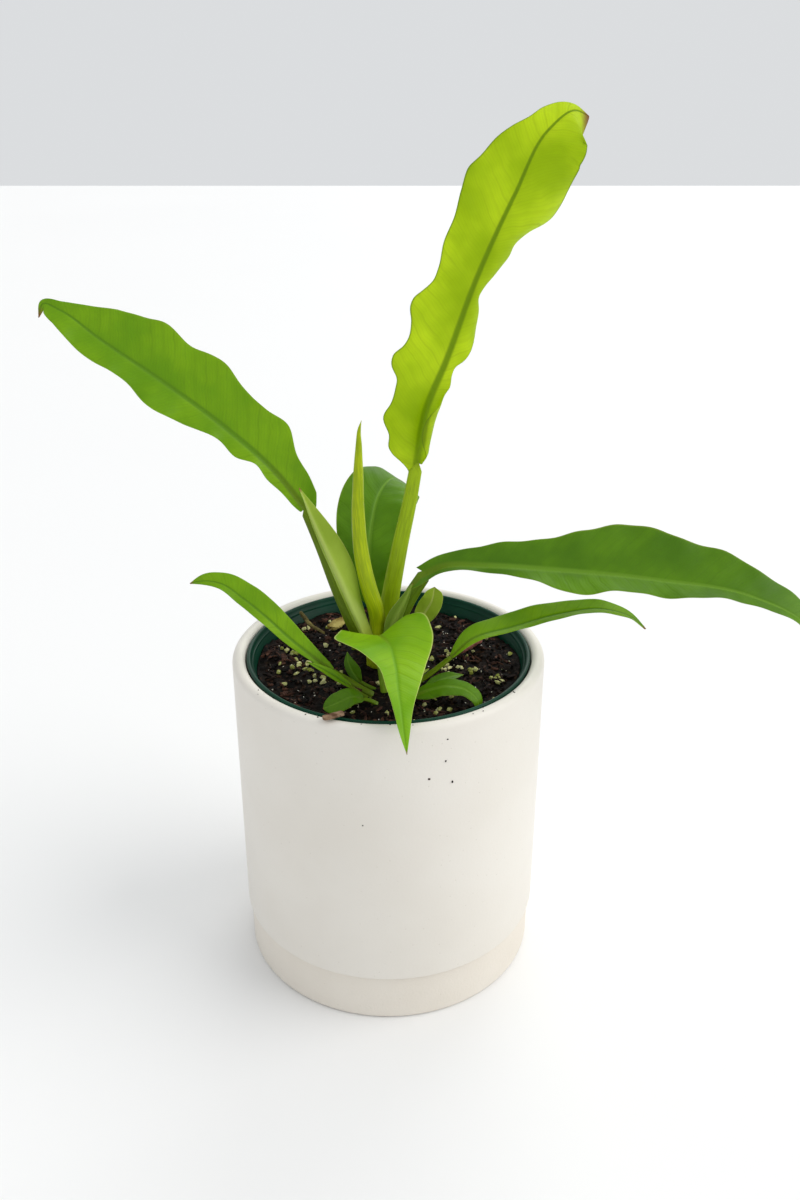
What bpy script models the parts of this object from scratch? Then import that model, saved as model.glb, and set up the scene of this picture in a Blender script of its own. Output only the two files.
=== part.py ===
"""Foliage plant in a plastic nursery pot, standing in a ceramic cylinder pot on its saucer.

Lengths are in millimetres and are turned into metres when a mesh is made. The origin is the middle
of the saucer's underside, +Z is up and the front of the pot faces -Y.
"""
import math

import bmesh
import bpy
import numpy as np

MM = 0.001
GAP = 0.3                      # clearance between pieces that touch
TURN_STEPS = 48                # facets round the pots

# Saucer
SAUCER_RADIUS = 60.7
SAUCER_HEIGHT = 20.9
SAUCER_WALL = 5.2
SAUCER_FLOOR = 5.0

# Ceramic pot: a straight cylinder on a narrower foot that sits inside the saucer
POT_RADIUS = 62.0
POT_TOP = 136.5
POT_WALL = 5.2
POT_BODY_BOTTOM = SAUCER_HEIGHT + GAP
FOOT_RADIUS = 54.6
FOOT_INNER_RADIUS = 47.0
FOOT_BOTTOM = SAUCER_FLOOR + GAP
POT_FLOOR_BOTTOM = 11.3
POT_FLOOR_TOP = 17.3
POT_DRAIN_RADIUS = 8.0

# Nursery pot
NURSERY_BOTTOM = POT_FLOOR_TOP + GAP
NURSERY_TOP = 135.8
NURSERY_RIM_RADIUS = 56.5
NURSERY_BASE_RADIUS = 43.0
NURSERY_FLOOR = 1.2
NURSERY_DRAIN_RADIUS = 6.0
SIDE_DRAIN_RADIUS = 4.0
SIDE_DRAIN_CIRCLE = 30.0
SIDE_DRAIN_COUNT = 6

# Potting soil
SOIL_BOTTOM = NURSERY_BOTTOM + NURSERY_FLOOR + 0.5
SOIL_LEVEL = 130.2
SOIL_RADIUS = 52.6
SOIL_RINGS = (8.0, 16.0, 24.0, 32.0, 40.0, 47.0)

# Stems: centre, half axes at the top, top and bottom heights
MAIN_STEM = ((-3.0, 2.0), (12.5, 14.0), 133.0, 106.0)
SHOOT_STEM = ((0.0, -31.0), (9.5, 7.5), 131.3, 114.0)

# Leaves
BLADE_COLUMNS = 4              # columns of faces on each half of a blade
BLADE_HALF_THICKNESS = 0.42
LATERAL_STEPS = 12             # steps that add up a blade's curl from the rib to the margin

COLOURS = {                    # colour, roughness, metallic
    "ceramic": ((0.80, 0.77, 0.71), 0.55, 0.0),
    "saucer_ceramic": ((0.73, 0.67, 0.59), 0.60, 0.0),
    "green_plastic": ((0.010, 0.075, 0.045), 0.40, 0.0),
    "soil": ((0.022, 0.014, 0.010), 0.95, 0.0),
    "stem": ((0.25, 0.36, 0.06), 0.55, 0.0),
    "leaf_young": ((0.42, 0.62, 0.02), 0.45, 0.0),
    "leaf_mid": ((0.17, 0.42, 0.02), 0.42, 0.0),
    "leaf_dark": ((0.07, 0.26, 0.02), 0.40, 0.0),
    "sheath": ((0.48, 0.60, 0.16), 0.50, 0.0),
    "dry": ((0.30, 0.19, 0.08), 0.85, 0.0),
    "bark": ((0.16, 0.07, 0.04), 0.90, 0.0),
}

# Each leaf is one grown piece, a stalk that widens into a blade. stalk and rib are points from the
# stem to the tip. facing says where the blade's upper face looks, at places along the rib from 0 to
# 1. left and right are the half widths there, seen on the upper face with the tip up. fold lifts
# each half from the rib and curl bends it on towards its margin, both in degrees. lobes are how far
# the two base corners reach back past the end of the stalk.
LEAVES = [
    dict(
        name="leaf_tall_upright", finish="leaf_young", rows=34, stalk_width=(9.0, 5.4),
        stalk=[(-1, 6, 133.3), (-1, 6, 140), (0.5, 7, 153), (4.5, 9, 176), (8.5, 11, 195), (11, 13, 209)],
        rib=[(11, 13, 209), (14, 15, 228), (22, 17, 248), (32, 19, 276), (45, 21, 305), (56, 23, 326),
             (65, 27, 332), (71, 31, 330)],
        facing=[(0, 0.1, -1, 0.1), (0.5, 0, -1, 0.2), (1, 0.15, -1, 0.5)],
        left=[(0, 4), (0.03, 8.5), (0.06, 12), (0.11, 15), (0.15, 13.5), (0.19, 14.6), (0.235, 19.2),
              (0.3, 16.2), (0.34, 17.2), (0.385, 19.4), (0.46, 14.4), (0.54, 16), (0.6, 16.1), (0.66, 17.8),
              (0.72, 18.7), (0.76, 16.2), (0.8, 13.8), (0.86, 7.8), (0.92, 5), (0.96, 2.5), (1, 0)],
        right=[(0, 3), (0.05, 4.5), (0.15, 5), (0.21, 6), (0.26, 4.2), (0.31, 7.5), (0.37, 9.4), (0.41, 9.2),
               (0.45, 6.4), (0.51, 10.7), (0.57, 14.7), (0.6, 14), (0.64, 16.7), (0.69, 20.9), (0.76, 19.8),
               (0.86, 16.7), (0.92, 13.5), (0.96, 11), (1, 0)],
        fold=(8, 8), curl=(-5, -5), lobes=(4, 0)),
    dict(
        name="leaf_long_left", finish="leaf_mid", rows=18, stalk_width=(6.6, 4.6),
        stalk=[(-12, 4, 133.3), (-12, 4, 139), (-15, 4, 147), (-20, 6, 159), (-26, 8, 176), (-32, 9, 192)],
        rib=[(-32, 9, 192), (-42, 11, 205), (-64, 14, 225), (-86, 17, 241), (-107, 20, 255),
             (-121, 22, 265), (-127, 23, 267), (-129, 22, 262)],
        facing=[(0, 0, -1, 0.6), (1, -0.1, -1, 0.7)],
        left=[(0, 3), (0.08, 3.5), (0.14, 4.5), (0.2, 3.5), (0.26, 6.5), (0.32, 5.5), (0.44, 9), (0.56, 11),
              (0.63, 8.5), (0.8, 8.5), (0.9, 6), (0.97, 2), (1, 0)],
        right=[(0, 6), (0.08, 9), (0.14, 10.5), (0.2, 16), (0.28, 15), (0.36, 16), (0.44, 19), (0.56, 17),
               (0.63, 18.5), (0.7, 16), (0.8, 11), (0.88, 5), (0.94, 2), (1, 0)],
        fold=(8, 12), curl=(0, 0), lobes=(0, 3)),
    dict(
        name="leaf_long_right", finish="leaf_dark", rows=18, stalk_width=(7.0, 6.2),
        stalk=[(4, -5, 133.3), (3, -5, 141), (5, -5, 153), (9, -5, 162), (14, -6, 171)],
        rib=[(14, -6, 171), (21, -8, 175), (36, -12, 177), (61, -18, 178), (97, -27, 178), (130, -35, 175),
             (148, -40, 167), (154, -42, 160)],
        facing=[(0, 0, -0.5, 0.85), (1, 0.2, -0.4, 0.85)],
        left=[(0, 4), (0.1, 6.5), (0.25, 11.5), (0.33, 14), (0.4, 17.5), (0.48, 22), (0.56, 21), (0.64, 18),
              (0.72, 16), (0.8, 11), (0.88, 9), (0.95, 4), (1, 0)],
        right=[(0, 5), (0.1, 3.5), (0.18, 3.5), (0.26, 5.5), (0.34, 10), (0.4, 12), (0.48, 9.5),
               (0.64, 8.5), (0.72, 6.5), (0.8, 4.5), (0.95, 2.5), (1, 0)],
        fold=(14, 10), curl=(0, 0), lobes=(3, 6)),
    dict(
        name="leaf_rear", finish="leaf_dark", rows=14, stalk_width=(5.0, 3.6),
        stalk=[(-6, 13, 133.3), (-6, 13, 140), (-7, 15, 150)],
        rib=[(-7, 15, 150), (-8, 19, 164), (-7, 27, 178), (-4, 37, 188), (1, 48, 191), (5, 57, 187)],
        facing=[(0, 0, -1, 0.3), (0.5, 0.05, -1, 0.6), (1, 0.1, -0.5, 1)],
        left=[(0, 3), (0.15, 8), (0.35, 13), (0.55, 15), (0.75, 13), (0.9, 7), (1, 0)],
        right=[(0, 3), (0.15, 8), (0.35, 11), (0.55, 14), (0.75, 15.5), (0.9, 11.5), (1, 0)],
        fold=(6, 6), curl=(-8, -8), lobes=(2, 2)),
    dict(
        name="leaf_front_drooping", finish="leaf_mid", rows=14, stalk_width=(3.8, 3.0),
        stalk=[(-1, -27, 131.6), (-2, -25, 138), (-3, -21.5, 147), (-3, -18, 151)],
        rib=[(-3, -18, 151), (0.5, -27, 152), (3, -40, 150), (4, -53, 148), (5, -63, 145), (6, -69, 139),
             (7, -73, 133)],
        facing=[(0, 0.05, -0.45, 1), (0.5, 0.1, -0.4, 1), (1, 0.1, -1, 0.6)],
        left=[(0, 13), (0.06, 17.5), (0.165, 17), (0.38, 11), (0.6, 7), (0.76, 4), (0.89, 2), (1, 0)],
        right=[(0, 13), (0.06, 18), (0.13, 19), (0.2, 17), (0.28, 13), (0.38, 8.5), (0.6, 4.5), (0.76, 2.8),
               (0.89, 1.6), (1, 0)],
        fold=[(0, 28, 12), (0.3, 12, 12), (1, 2, 12)], curl=(-12, 6), lobes=(1, 8)),
    dict(
        name="leaf_low_left", finish="leaf_dark", rows=14, stalk_width=(2.8, 2.2),
        stalk=[(-6, -29, 131.6), (-10, -28.5, 133.8), (-15, -27.5, 137), (-21, -26, 140)],
        rib=[(-21, -26, 140), (-29, -23, 145), (-37, -19, 150), (-46, -15, 157), (-55, -11, 163),
             (-64, -8, 168), (-71, -7, 168.5), (-76, -6, 167)],
        facing=[(0, -0.1, -0.6, 0.8), (1, -0.1, -0.6, 0.8)],
        left=[(0, 1.4), (0.15, 2), (0.35, 2.8), (0.6, 3), (0.8, 2.4), (0.93, 1.4), (1, 0)],
        right=[(0, 1.6), (0.15, 3.5), (0.35, 5.5), (0.6, 6.5), (0.8, 5), (0.93, 2.5), (1, 0)],
        fold=(6, 6), curl=(0, 0), lobes=(0, 0)),
    dict(
        name="leaf_low_right", finish="leaf_mid", rows=14, stalk_width=(3.0, 2.2),
        stalk=[(5.5, -28, 131.6), (9, -27.2, 134), (15, -25.8, 138), (24, -24, 145)],
        rib=[(24, -24, 145), (31, -22, 151), (47, -19, 155), (65, -16, 159), (82, -14, 160),
             (93, -13, 156), (99, -13, 151)],
        facing=[(0, -0.3, -0.3, 1), (1, 0.2, -0.3, 1)],
        left=[(0, 1.6), (0.1, 5), (0.25, 7), (0.45, 7), (0.7, 5), (0.88, 3), (1, 0)],
        right=[(0, 1.6), (0.1, 2.5), (0.25, 3), (0.45, 3), (0.7, 2.5), (0.88, 1.5), (1, 0)],
        fold=(6, 6), curl=(0, 0), lobes=(0, 0)),
    dict(
        name="leaf_arched_right", finish="leaf_mid", rows=12, stalk_width=(2.8, 2.4),
        stalk=[(5, -35, 131.6), (7, -35, 133), (10, -35, 134.5)],
        rib=[(10, -35, 134.5), (16, -35, 137), (23, -36, 139), (29, -37, 138), (33, -39, 135),
             (33.5, -41, 129)],
        facing=[(0, -0.3, -0.6, 1), (0.6, 0.1, -0.5, 1), (1, 1, -0.6, 0.5)],
        left=[(0, 1.8), (0.15, 3), (0.4, 3.5), (0.65, 3.5), (0.85, 2.5), (1, 0)],
        right=[(0, 1.8), (0.15, 3.5), (0.4, 4), (0.65, 3), (0.85, 2), (1, 0)],
        fold=(6, 6), curl=(-20, -20), lobes=(0, 0)),
    dict(
        name="leaf_small_pointed", finish="leaf_dark", rows=10, stalk_width=(1.8, 1.4),
        stalk=[(7.5, -32, 131.6), (10, -31.5, 133.2), (14, -30.5, 134.5)],
        rib=[(14, -30.5, 134.5), (19, -28, 136.5), (24, -25.5, 137.2), (29, -22, 136)],
        facing=[(0, 0, -0.4, 1), (1, 0, -0.4, 1)],
        left=[(0, 1.2), (0.25, 2.6), (0.6, 2.4), (1, 0)],
        right=[(0, 1.2), (0.25, 2.8), (0.6, 2.2), (1, 0)],
        fold=(10, 10), curl=(0, 0), lobes=(0, 0)),
    dict(
        name="leaf_round_left", finish="leaf_mid", rows=12, stalk_width=(2.0, 1.6),
        stalk=[(-4, -36, 131.6), (-6.5, -36, 132.9), (-9, -36, 133.6)],
        rib=[(-9, -36, 133.6), (-13, -37, 135), (-18, -37.5, 133), (-24, -38, 130.5)],
        facing=[(0, 0, -0.5, 1), (0.5, 0, -0.6, 1), (1, -0.4, -0.6, 1)],
        left=[(0, 1.4), (0.2, 3), (0.5, 4), (0.8, 3.4), (0.94, 1.8), (1, 0)],
        right=[(0, 1.4), (0.2, 3.5), (0.5, 4.5), (0.8, 4), (0.94, 2), (1, 0)],
        fold=(6, 6), curl=(-16, -16), lobes=(0, 0)),
    dict(
        name="leaf_small_hidden", finish="leaf_mid", rows=8, stalk_width=(1.8, 1.4),
        stalk=[(-4.8, -25.6, 131.6), (-8, -25, 133), (-10.5, -24.5, 134.5)],
        rib=[(-10.5, -24.5, 134.5), (-13, -23.5, 137.5), (-15, -22, 141.5), (-15.5, -20, 145)],
        facing=[(0, -0.3, -1, 0.6), (1, -0.3, -1, 0.6)],
        left=[(0, 1), (0.3, 2), (0.7, 1.6), (1, 0)],
        right=[(0, 1), (0.3, 3.2), (0.7, 2.4), (1, 0)],
        fold=(8, 8), curl=(0, 0), lobes=(0, 0)),
    dict(
        name="leaf_narrow_left", finish="leaf_mid", rows=8, stalk_width=(1.6, 1.3),
        stalk=[(-6.8, -32.5, 131.6), (-10, -32, 133.5), (-14, -31.6, 136.5)],
        rib=[(-14, -31.6, 136.5), (-20, -31.3, 141), (-25, -31, 144), (-30, -31, 146.5)],
        facing=[(0, 0, -0.7, 1), (1, 0, -0.7, 1)],
        left=[(0, 0.9), (0.35, 1.7), (0.7, 1.2), (1, 0)],
        right=[(0, 0.9), (0.35, 1.7), (0.7, 1.2), (1, 0)],
        fold=(8, 8), curl=(0, 0), lobes=(0, 0)),
    dict(
        name="leaf_pale_rear_right", finish="leaf_mid", rows=8, stalk_width=(2.6, 2.0),
        stalk=[(7, 5, 133.3), (8.5, 5.5, 137), (11.5, 6.5, 143)],
        rib=[(11.5, 6.5, 143), (14.5, 7.5, 148), (17.5, 9, 153), (18.5, 12, 157.5)],
        facing=[(0, -0.2, -1, 0.5), (1, 0, -0.7, 1)],
        left=[(0, 1.6), (0.3, 4), (0.7, 4), (0.9, 2.6), (1, 0)],
        right=[(0, 1.6), (0.3, 4.4), (0.7, 4.4), (0.9, 2.8), (1, 0)],
        fold=(10, 10), curl=(0, 0), lobes=(0, 0)),
    dict(
        name="sheath_tall", finish="sheath", rows=14, stalk_width=(6.5, 6.5),
        stalk=[(-5.5, -9.5, 133.3), (-5.5, -10, 136), (-6, -10, 141)],
        rib=[(-6, -10, 141), (-12.5, -10, 157), (-19.5, -8, 174), (-26.5, -4, 189), (-33, -1, 204)],
        facing=[(0, 0.2, 1, 0.2), (1, 0.3, 1, 0)],
        left=[(0, 3), (0.25, 5), (0.5, 7), (0.75, 5), (1, 0)],
        right=[(0, 4), (0.25, 4.5), (0.5, 4.5), (0.75, 3), (1, 0)],
        fold=[(0, 70, 24), (0.25, 62, 24), (0.5, 34, 24), (0.75, 24, 24), (1, 24, 24)], curl=(20, 20),
        lobes=(0, 0)),
    dict(
        name="sheath_right", finish="sheath", rows=10, stalk_width=(4.6, 4.4),
        stalk=[(1.5, -10, 133.3), (1, -10, 137), (0.5, -9.5, 143)],
        rib=[(0.5, -9.5, 143), (2, -9.3, 152), (6, -9.2, 161), (9.5, -8.8, 168.5)],
        facing=[(0, -0.1, 1, 0.1), (1, -0.1, 1, 0.1)],
        left=[(0, 2.8), (0.3, 3.6), (0.7, 2.4), (1, 0)],
        right=[(0, 2.8), (0.3, 3.2), (0.7, 2), (1, 0)],
        fold=(16, 16), curl=(20, 20), lobes=(0, 0)),
    dict(
        name="shoot_tip", finish="sheath", rows=8, stalk_width=(2.6, 2.0),
        stalk=[(2.2, -31, 131.6), (5, -30.4, 134), (9, -29, 137)],
        rib=[(9, -29, 137), (12, -28, 139.4), (15.5, -27, 141.5)],
        facing=[(0, -0.5, -0.4, 1), (1, -0.5, -0.4, 1)],
        left=[(0, 1.3), (0.4, 1.3), (1, 0)],
        right=[(0, 1.3), (0.4, 1.3), (1, 0)],
        fold=(20, 20), curl=(0, 0), lobes=(0, 0)),
]

# Loose bark: name, finish, centre, length width thickness, turn in degrees
CHIPS = [
    ("bark_chip_large", "bark", (32, 8, 133.6), (17, 7, 2.4), 50),
    ("bark_chip_yellow", "dry", (-22, 27, 133.6), (11, 6, 2.2), 60),
    ("bark_chip_on_rim", "bark", (-19, -55.6, 138.2), (9, 3.6, 1.4), 30),
]
# Rods: name, finish, points, radii, sides
RODS = [
    ("rolled_new_leaf", "leaf_young",
     [(-5, -4.4, 133.3), (-5, -4.4, 141), (-4.1, -4.2, 149), (-4.9, -5.6, 156), (-7.6, -6.2, 166),
      (-10.1, -6, 179.7), (-11.1, -4, 196.2), (-10.9, -2, 208.9), (-10.6, 0, 219.7), (-10.3, 1, 226),
      (-9.5, 1.5, 229)],
     (3.0, 3.0, 3.0, 3.1, 3.05, 2.85, 2.4, 1.95, 1.2, 0.6, 0.0), 8),
    ("twig", "dry", [(-38, 34, 135.5), (-36, 31, 134.4), (-34, 27, 133.8), (-27, 19, 133.2)],
     (0.7, 0.9, 0.8, 0.5), 6),
    ("dried_root", "dry", [(-16, -29.8, 133.4), (-13, -30, 134.5), (-9.8, -30.3, 133.6)],
     (0.4, 0.7, 0.6), 6),
]
ROD_FACING = (0.2, -1.0, 0.35)    # a direction that no rod runs along


# ---------------------------------------------------------------- helpers

def material(key):
    """The Principled material of one finish."""
    found = bpy.data.materials.get(key)
    if found:
        return found
    colour, roughness, metallic = COLOURS[key]
    made = bpy.data.materials.new(key)
    made.use_nodes = True
    shader = made.node_tree.nodes["Principled BSDF"]
    shader.inputs["Base Color"].default_value = (*colour, 1.0)
    shader.inputs["Roughness"].default_value = roughness
    shader.inputs["Metallic"].default_value = metallic
    made.diffuse_color = (*colour, 1.0)
    return made


def make_object(name, finish, points, faces, sharp_angle=40.0):
    """One object from points in millimetres and faces, with its faces turned outward."""
    mesh = bpy.data.meshes.new(name)
    mesh.from_pydata([tuple(float(c) * MM for c in p) for p in points], [], faces)
    work = bmesh.new()
    work.from_mesh(mesh)
    bmesh.ops.recalc_face_normals(work, faces=work.faces)
    work.to_mesh(mesh)
    work.free()
    mesh.shade_smooth()
    mesh.set_sharp_from_angle(angle=math.radians(sharp_angle))
    mesh.materials.append(material(finish))
    made = bpy.data.objects.new(name, mesh)
    bpy.context.collection.objects.link(made)
    return made


def arc(r, z, radius, start, end, steps):
    """Points of an arc in the (radius, height) plane, angles in degrees."""
    angles = np.radians(np.linspace(start, end, steps + 1))
    return [(r + radius * math.cos(a), z + radius * math.sin(a)) for a in angles]


def turned(name, finish, outline, steps=TURN_STEPS):
    """A closed ring turned round Z from a closed outline of (radius, height) points."""
    points = []
    faces = []
    rings = []
    for r, z in outline:
        if r < 1e-6:
            rings.append([len(points)])
            points.append((0.0, 0.0, z))
            continue
        ring = []
        for k in range(steps):
            a = 2.0 * math.pi * k / steps
            ring.append(len(points))
            points.append((r * math.cos(a), r * math.sin(a), z))
        rings.append(ring)
    on_axis = [len(ring) == 1 for ring in rings]
    for i, lower in enumerate(rings):
        j = (i + 1) % len(rings)
        upper = rings[j]
        if on_axis[i] and on_axis[j]:
            continue
        for k in range(steps):
            n = (k + 1) % steps
            if on_axis[i]:
                faces.append((lower[0], upper[n], upper[k]))
            elif on_axis[j]:
                faces.append((lower[k], lower[n], upper[0]))
            else:
                faces.append((lower[k], lower[n], upper[n], upper[k]))
    return make_object(name, finish, points, faces)


def stacked(name, finish, rings, steps=16):
    """A closed body through level rings given as (centre x, centre y, half x, half y, z)."""
    points = []
    faces = []
    for cx, cy, ax, ay, z in rings:
        for k in range(steps):
            a = 2.0 * math.pi * k / steps
            points.append((cx + ax * math.cos(a), cy + ay * math.sin(a), z))
    for i in range(len(rings) - 1):
        for k in range(steps):
            n = (k + 1) % steps
            faces.append((i * steps + k, i * steps + n, (i + 1) * steps + n, (i + 1) * steps + k))
    faces.append(tuple(reversed(range(steps))))
    top = (len(rings) - 1) * steps
    faces.append(tuple(range(top, top + steps)))
    return make_object(name, finish, points, faces)


def cut(target, cutter):
    """Takes the cutter's shape out of the target."""
    cutter.hide_render = True
    cutter.display_type = "WIRE"
    boolean = target.modifiers.new("cut_" + cutter.name, "BOOLEAN")
    boolean.operation = "DIFFERENCE"
    boolean.solver = "EXACT"
    boolean.object = cutter


def smooth(stations, t):
    """Reads a smooth curve through (place, values...) rows at the places t."""
    table = np.array(stations, float)
    place = table[:, 0]
    value = table[:, 1:]
    slope = np.gradient(value, place, axis=0)
    t = np.atleast_1d(np.asarray(t, float))
    k = np.clip(np.searchsorted(place, t, side="right") - 1, 0, len(place) - 2)
    h = (place[k + 1] - place[k])[:, None]
    s = np.clip((t - place[k])[:, None] / h, 0.0, 1.0)
    start = (2 * s**3 - 3 * s**2 + 1) * value[k] + (s**3 - 2 * s**2 + s) * h * slope[k]
    end = (3 * s**2 - 2 * s**3) * value[k + 1] + (s**3 - s**2) * h * slope[k + 1]
    return start + end


def by_length(route):
    """Rows of (place from 0 to 1, x, y, z) for a list of points, placed by their distance along."""
    points = np.array(route, float)
    steps = np.linalg.norm(np.diff(points, axis=0), axis=1)
    place = np.concatenate(([0.0], np.cumsum(steps))) / steps.sum()
    return np.column_stack((place, points))


def unit(vectors):
    return vectors / np.linalg.norm(vectors, axis=-1, keepdims=True)


def axes_along(route, facing, t):
    """Points, forward, sideways and face directions of a route at the places t."""
    table = by_length(route)
    near = 0.001
    points = smooth(table, t)
    ahead = smooth(table, np.clip(t + near, 0.0, 1.0))
    behind = smooth(table, np.clip(t - near, 0.0, 1.0))
    forward = unit(ahead - behind)
    side = unit(np.cross(forward, unit(smooth(facing, t))))
    return points, forward, side, np.cross(side, forward)


# ---------------------------------------------------------------- pots and soil

def build_saucer():
    r = SAUCER_RADIUS
    inner = r - SAUCER_WALL
    outline = [(0.0, 0.0), (r - 1.5, 0.0)]
    outline += arc(r - 1.5, 1.5, 1.5, -60, 0, 2)
    outline += arc(r - 0.8, SAUCER_HEIGHT - 0.8, 0.8, 0, 90, 2)
    outline += arc(inner + 0.8, SAUCER_HEIGHT - 0.8, 0.8, 90, 180, 2)
    outline += arc(inner - 3.0, SAUCER_FLOOR + 3.0, 3.0, 0, -90, 3)
    outline += [(0.0, SAUCER_FLOOR)]
    turned("saucer", "saucer_ceramic", outline)


def build_ceramic_pot():
    lip = POT_WALL / 2.0
    outline = [(FOOT_INNER_RADIUS, FOOT_BOTTOM), (FOOT_RADIUS - 3.2, FOOT_BOTTOM),
               (FOOT_RADIUS - 2.4, FOOT_BOTTOM + 2.4), (FOOT_RADIUS, POT_BODY_BOTTOM)]
    outline += [(POT_RADIUS - 0.8, POT_BODY_BOTTOM), (POT_RADIUS, POT_BODY_BOTTOM + 0.8)]
    outline += arc(POT_RADIUS - lip, POT_TOP - lip, lip, 0, 180, 6)
    outline += [(POT_RADIUS - POT_WALL, 34.0), (55.6, 27.0), (51.0, 19.6), (47.5, POT_FLOOR_TOP)]
    outline += [(POT_DRAIN_RADIUS, POT_FLOOR_TOP), (POT_DRAIN_RADIUS, POT_FLOOR_BOTTOM)]
    outline += [(FOOT_INNER_RADIUS, POT_FLOOR_BOTTOM)]
    turned("ceramic_pot", "ceramic", outline)


def build_nursery_pot():
    base = NURSERY_BASE_RADIUS
    floor_top = NURSERY_BOTTOM + NURSERY_FLOOR
    rim = NURSERY_RIM_RADIUS
    outline = [(NURSERY_DRAIN_RADIUS, NURSERY_BOTTOM), (base - 1.5, NURSERY_BOTTOM)]
    outline += [(base, NURSERY_BOTTOM + 1.5), (53.8, 124.5), (55.7, 126.3), (55.9, 133.2)]
    outline += arc(rim - 0.9, NURSERY_TOP - 0.9, 0.9, -30, 120, 3)
    outline += [(54.7, NURSERY_TOP - 0.7), (54.3, 132.0), (53.8, 131.7), (53.6, 128.4), (52.9, 128.0)]
    outline += [(52.5, 123.5), (base - 1.4, floor_top + 1.2), (base - 2.6, floor_top)]
    outline += [(NURSERY_DRAIN_RADIUS, floor_top)]
    pot = turned("nursery_pot", "green_plastic", outline)
    points = []
    faces = []
    sides = 12
    for hole in range(SIDE_DRAIN_COUNT):
        turn = 2.0 * math.pi * hole / SIDE_DRAIN_COUNT
        start = len(points)
        for z in (NURSERY_BOTTOM - 2.0, floor_top + 2.0):
            for k in range(sides):
                a = 2.0 * math.pi * k / sides
                points.append((SIDE_DRAIN_CIRCLE * math.cos(turn) + SIDE_DRAIN_RADIUS * math.cos(a),
                               SIDE_DRAIN_CIRCLE * math.sin(turn) + SIDE_DRAIN_RADIUS * math.sin(a), z))
        for k in range(sides):
            n = (k + 1) % sides
            faces.append((start + k, start + n, start + sides + n, start + sides + k))
        faces.append(tuple(start + k for k in reversed(range(sides))))
        faces.append(tuple(start + sides + k for k in range(sides)))
    cut(pot, make_object("drain_hole_cutters", "green_plastic", points, faces))


def soil_height(x, y):
    """Lumps of the soil's surface."""
    return (SOIL_LEVEL + 0.9 * math.sin(x / 7.0 + 1.3) * math.cos(y / 8.0)
            + 0.6 * math.sin(x / 3.7 + y / 5.1 + 0.4))


def stem_rings(stem, grow=0.0):
    """Level rings of a stem, which narrows downward; grow makes it larger all round."""
    (cx, cy), (ax, ay), top, bottom = stem
    shape = ((0.0, 0.35), (0.25, 0.7), (0.6, 0.95), (0.9, 1.0), (1.0, 0.96))
    rings = []
    for place, size in shape:
        z = bottom + (top - bottom) * place
        z += -grow if place < 1.0 else 3.0 * grow
        rings.append((cx, cy, ax * size + grow, ay * size + grow, z))
    return rings


def build_soil():
    steps = 40
    points = [(0.0, 0.0, soil_height(0.0, 0.0))]
    faces = []
    lower_radius = NURSERY_BASE_RADIUS - 2.6
    rings = []
    for r in SOIL_RINGS + (SOIL_RADIUS,):
        ring = []
        for k in range(steps):
            a = 2.0 * math.pi * k / steps
            x = r * math.cos(a)
            y = r * math.sin(a)
            ring.append(len(points))
            points.append((x, y, soil_height(x, y)))
        rings.append(ring)
    lower_rings = ((SOIL_RADIUS - 0.5, 122.0), (lower_radius, SOIL_BOTTOM + 1.0),
                   (lower_radius - 1.5, SOIL_BOTTOM))
    for r, z in lower_rings:
        ring = []
        for k in range(steps):
            a = 2.0 * math.pi * k / steps
            ring.append(len(points))
            points.append((r * math.cos(a), r * math.sin(a), z))
        rings.append(ring)
    for k in range(steps):
        faces.append((0, rings[0][k], rings[0][(k + 1) % steps]))
    for inner, outer in zip(rings, rings[1:]):
        for k in range(steps):
            n = (k + 1) % steps
            faces.append((inner[k], outer[k], outer[n], inner[n]))
    faces.append(tuple(reversed(rings[-1])))
    soil = make_object("potting_soil", "soil", points, faces, sharp_angle=180.0)
    for number, stem in enumerate((MAIN_STEM, SHOOT_STEM)):
        cut(soil, stacked("stem_socket_cutter_%d" % number, "soil", stem_rings(stem, 0.5)))


# ---------------------------------------------------------------- plant

def build_stems():
    stacked("main_stem", "stem", stem_rings(MAIN_STEM))
    stacked("side_shoot_stem", "stem", stem_rings(SHOOT_STEM))


def turn_along(value, t, slot):
    """One half's turn in radians at the places t.

    The value is one (left, right) pair in degrees, or rows of (place, left, right).
    """
    if np.ndim(value) == 1:
        return np.full(len(t), math.radians(value[slot]))
    return np.radians(smooth(value, t)[:, slot])


def blade_half(points, forward, side, face, widths, t, spec, hand):
    """Lateral points of one half of a blade: rows along the rib, columns from the rib outward.

    hand is -1 for the left half and 1 for the right half.
    """
    slot = 0 if hand < 0 else 1
    fold = turn_along(spec["fold"], t, slot)
    curl = turn_along(spec["curl"], t, slot)
    reach = spec["lobes"][slot]
    rows = []
    for i in range(len(t)):
        rib_share = min(spec["rib_half"][i] / widths[i], 0.4)
        columns = []
        for c in range(1, BLADE_COLUMNS + 1):
            u = rib_share + (1.0 - rib_share) * (c - 1) / (BLADE_COLUMNS - 1)
            step = u / LATERAL_STEPS
            across = 0.0
            lift = 0.0
            for k in range(LATERAL_STEPS):
                angle = fold[i] + curl[i] * (k + 0.5) * step
                across += math.cos(angle) * step * widths[i]
                lift += math.sin(angle) * step * widths[i]
            back = reach * max(0.0, 1.0 - t[i] / 0.2) ** 1.5 * u**1.3
            columns.append(points[i] + hand * across * side[i] + lift * face[i] - back * forward[i])
        rows.append(columns)
    return rows


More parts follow.
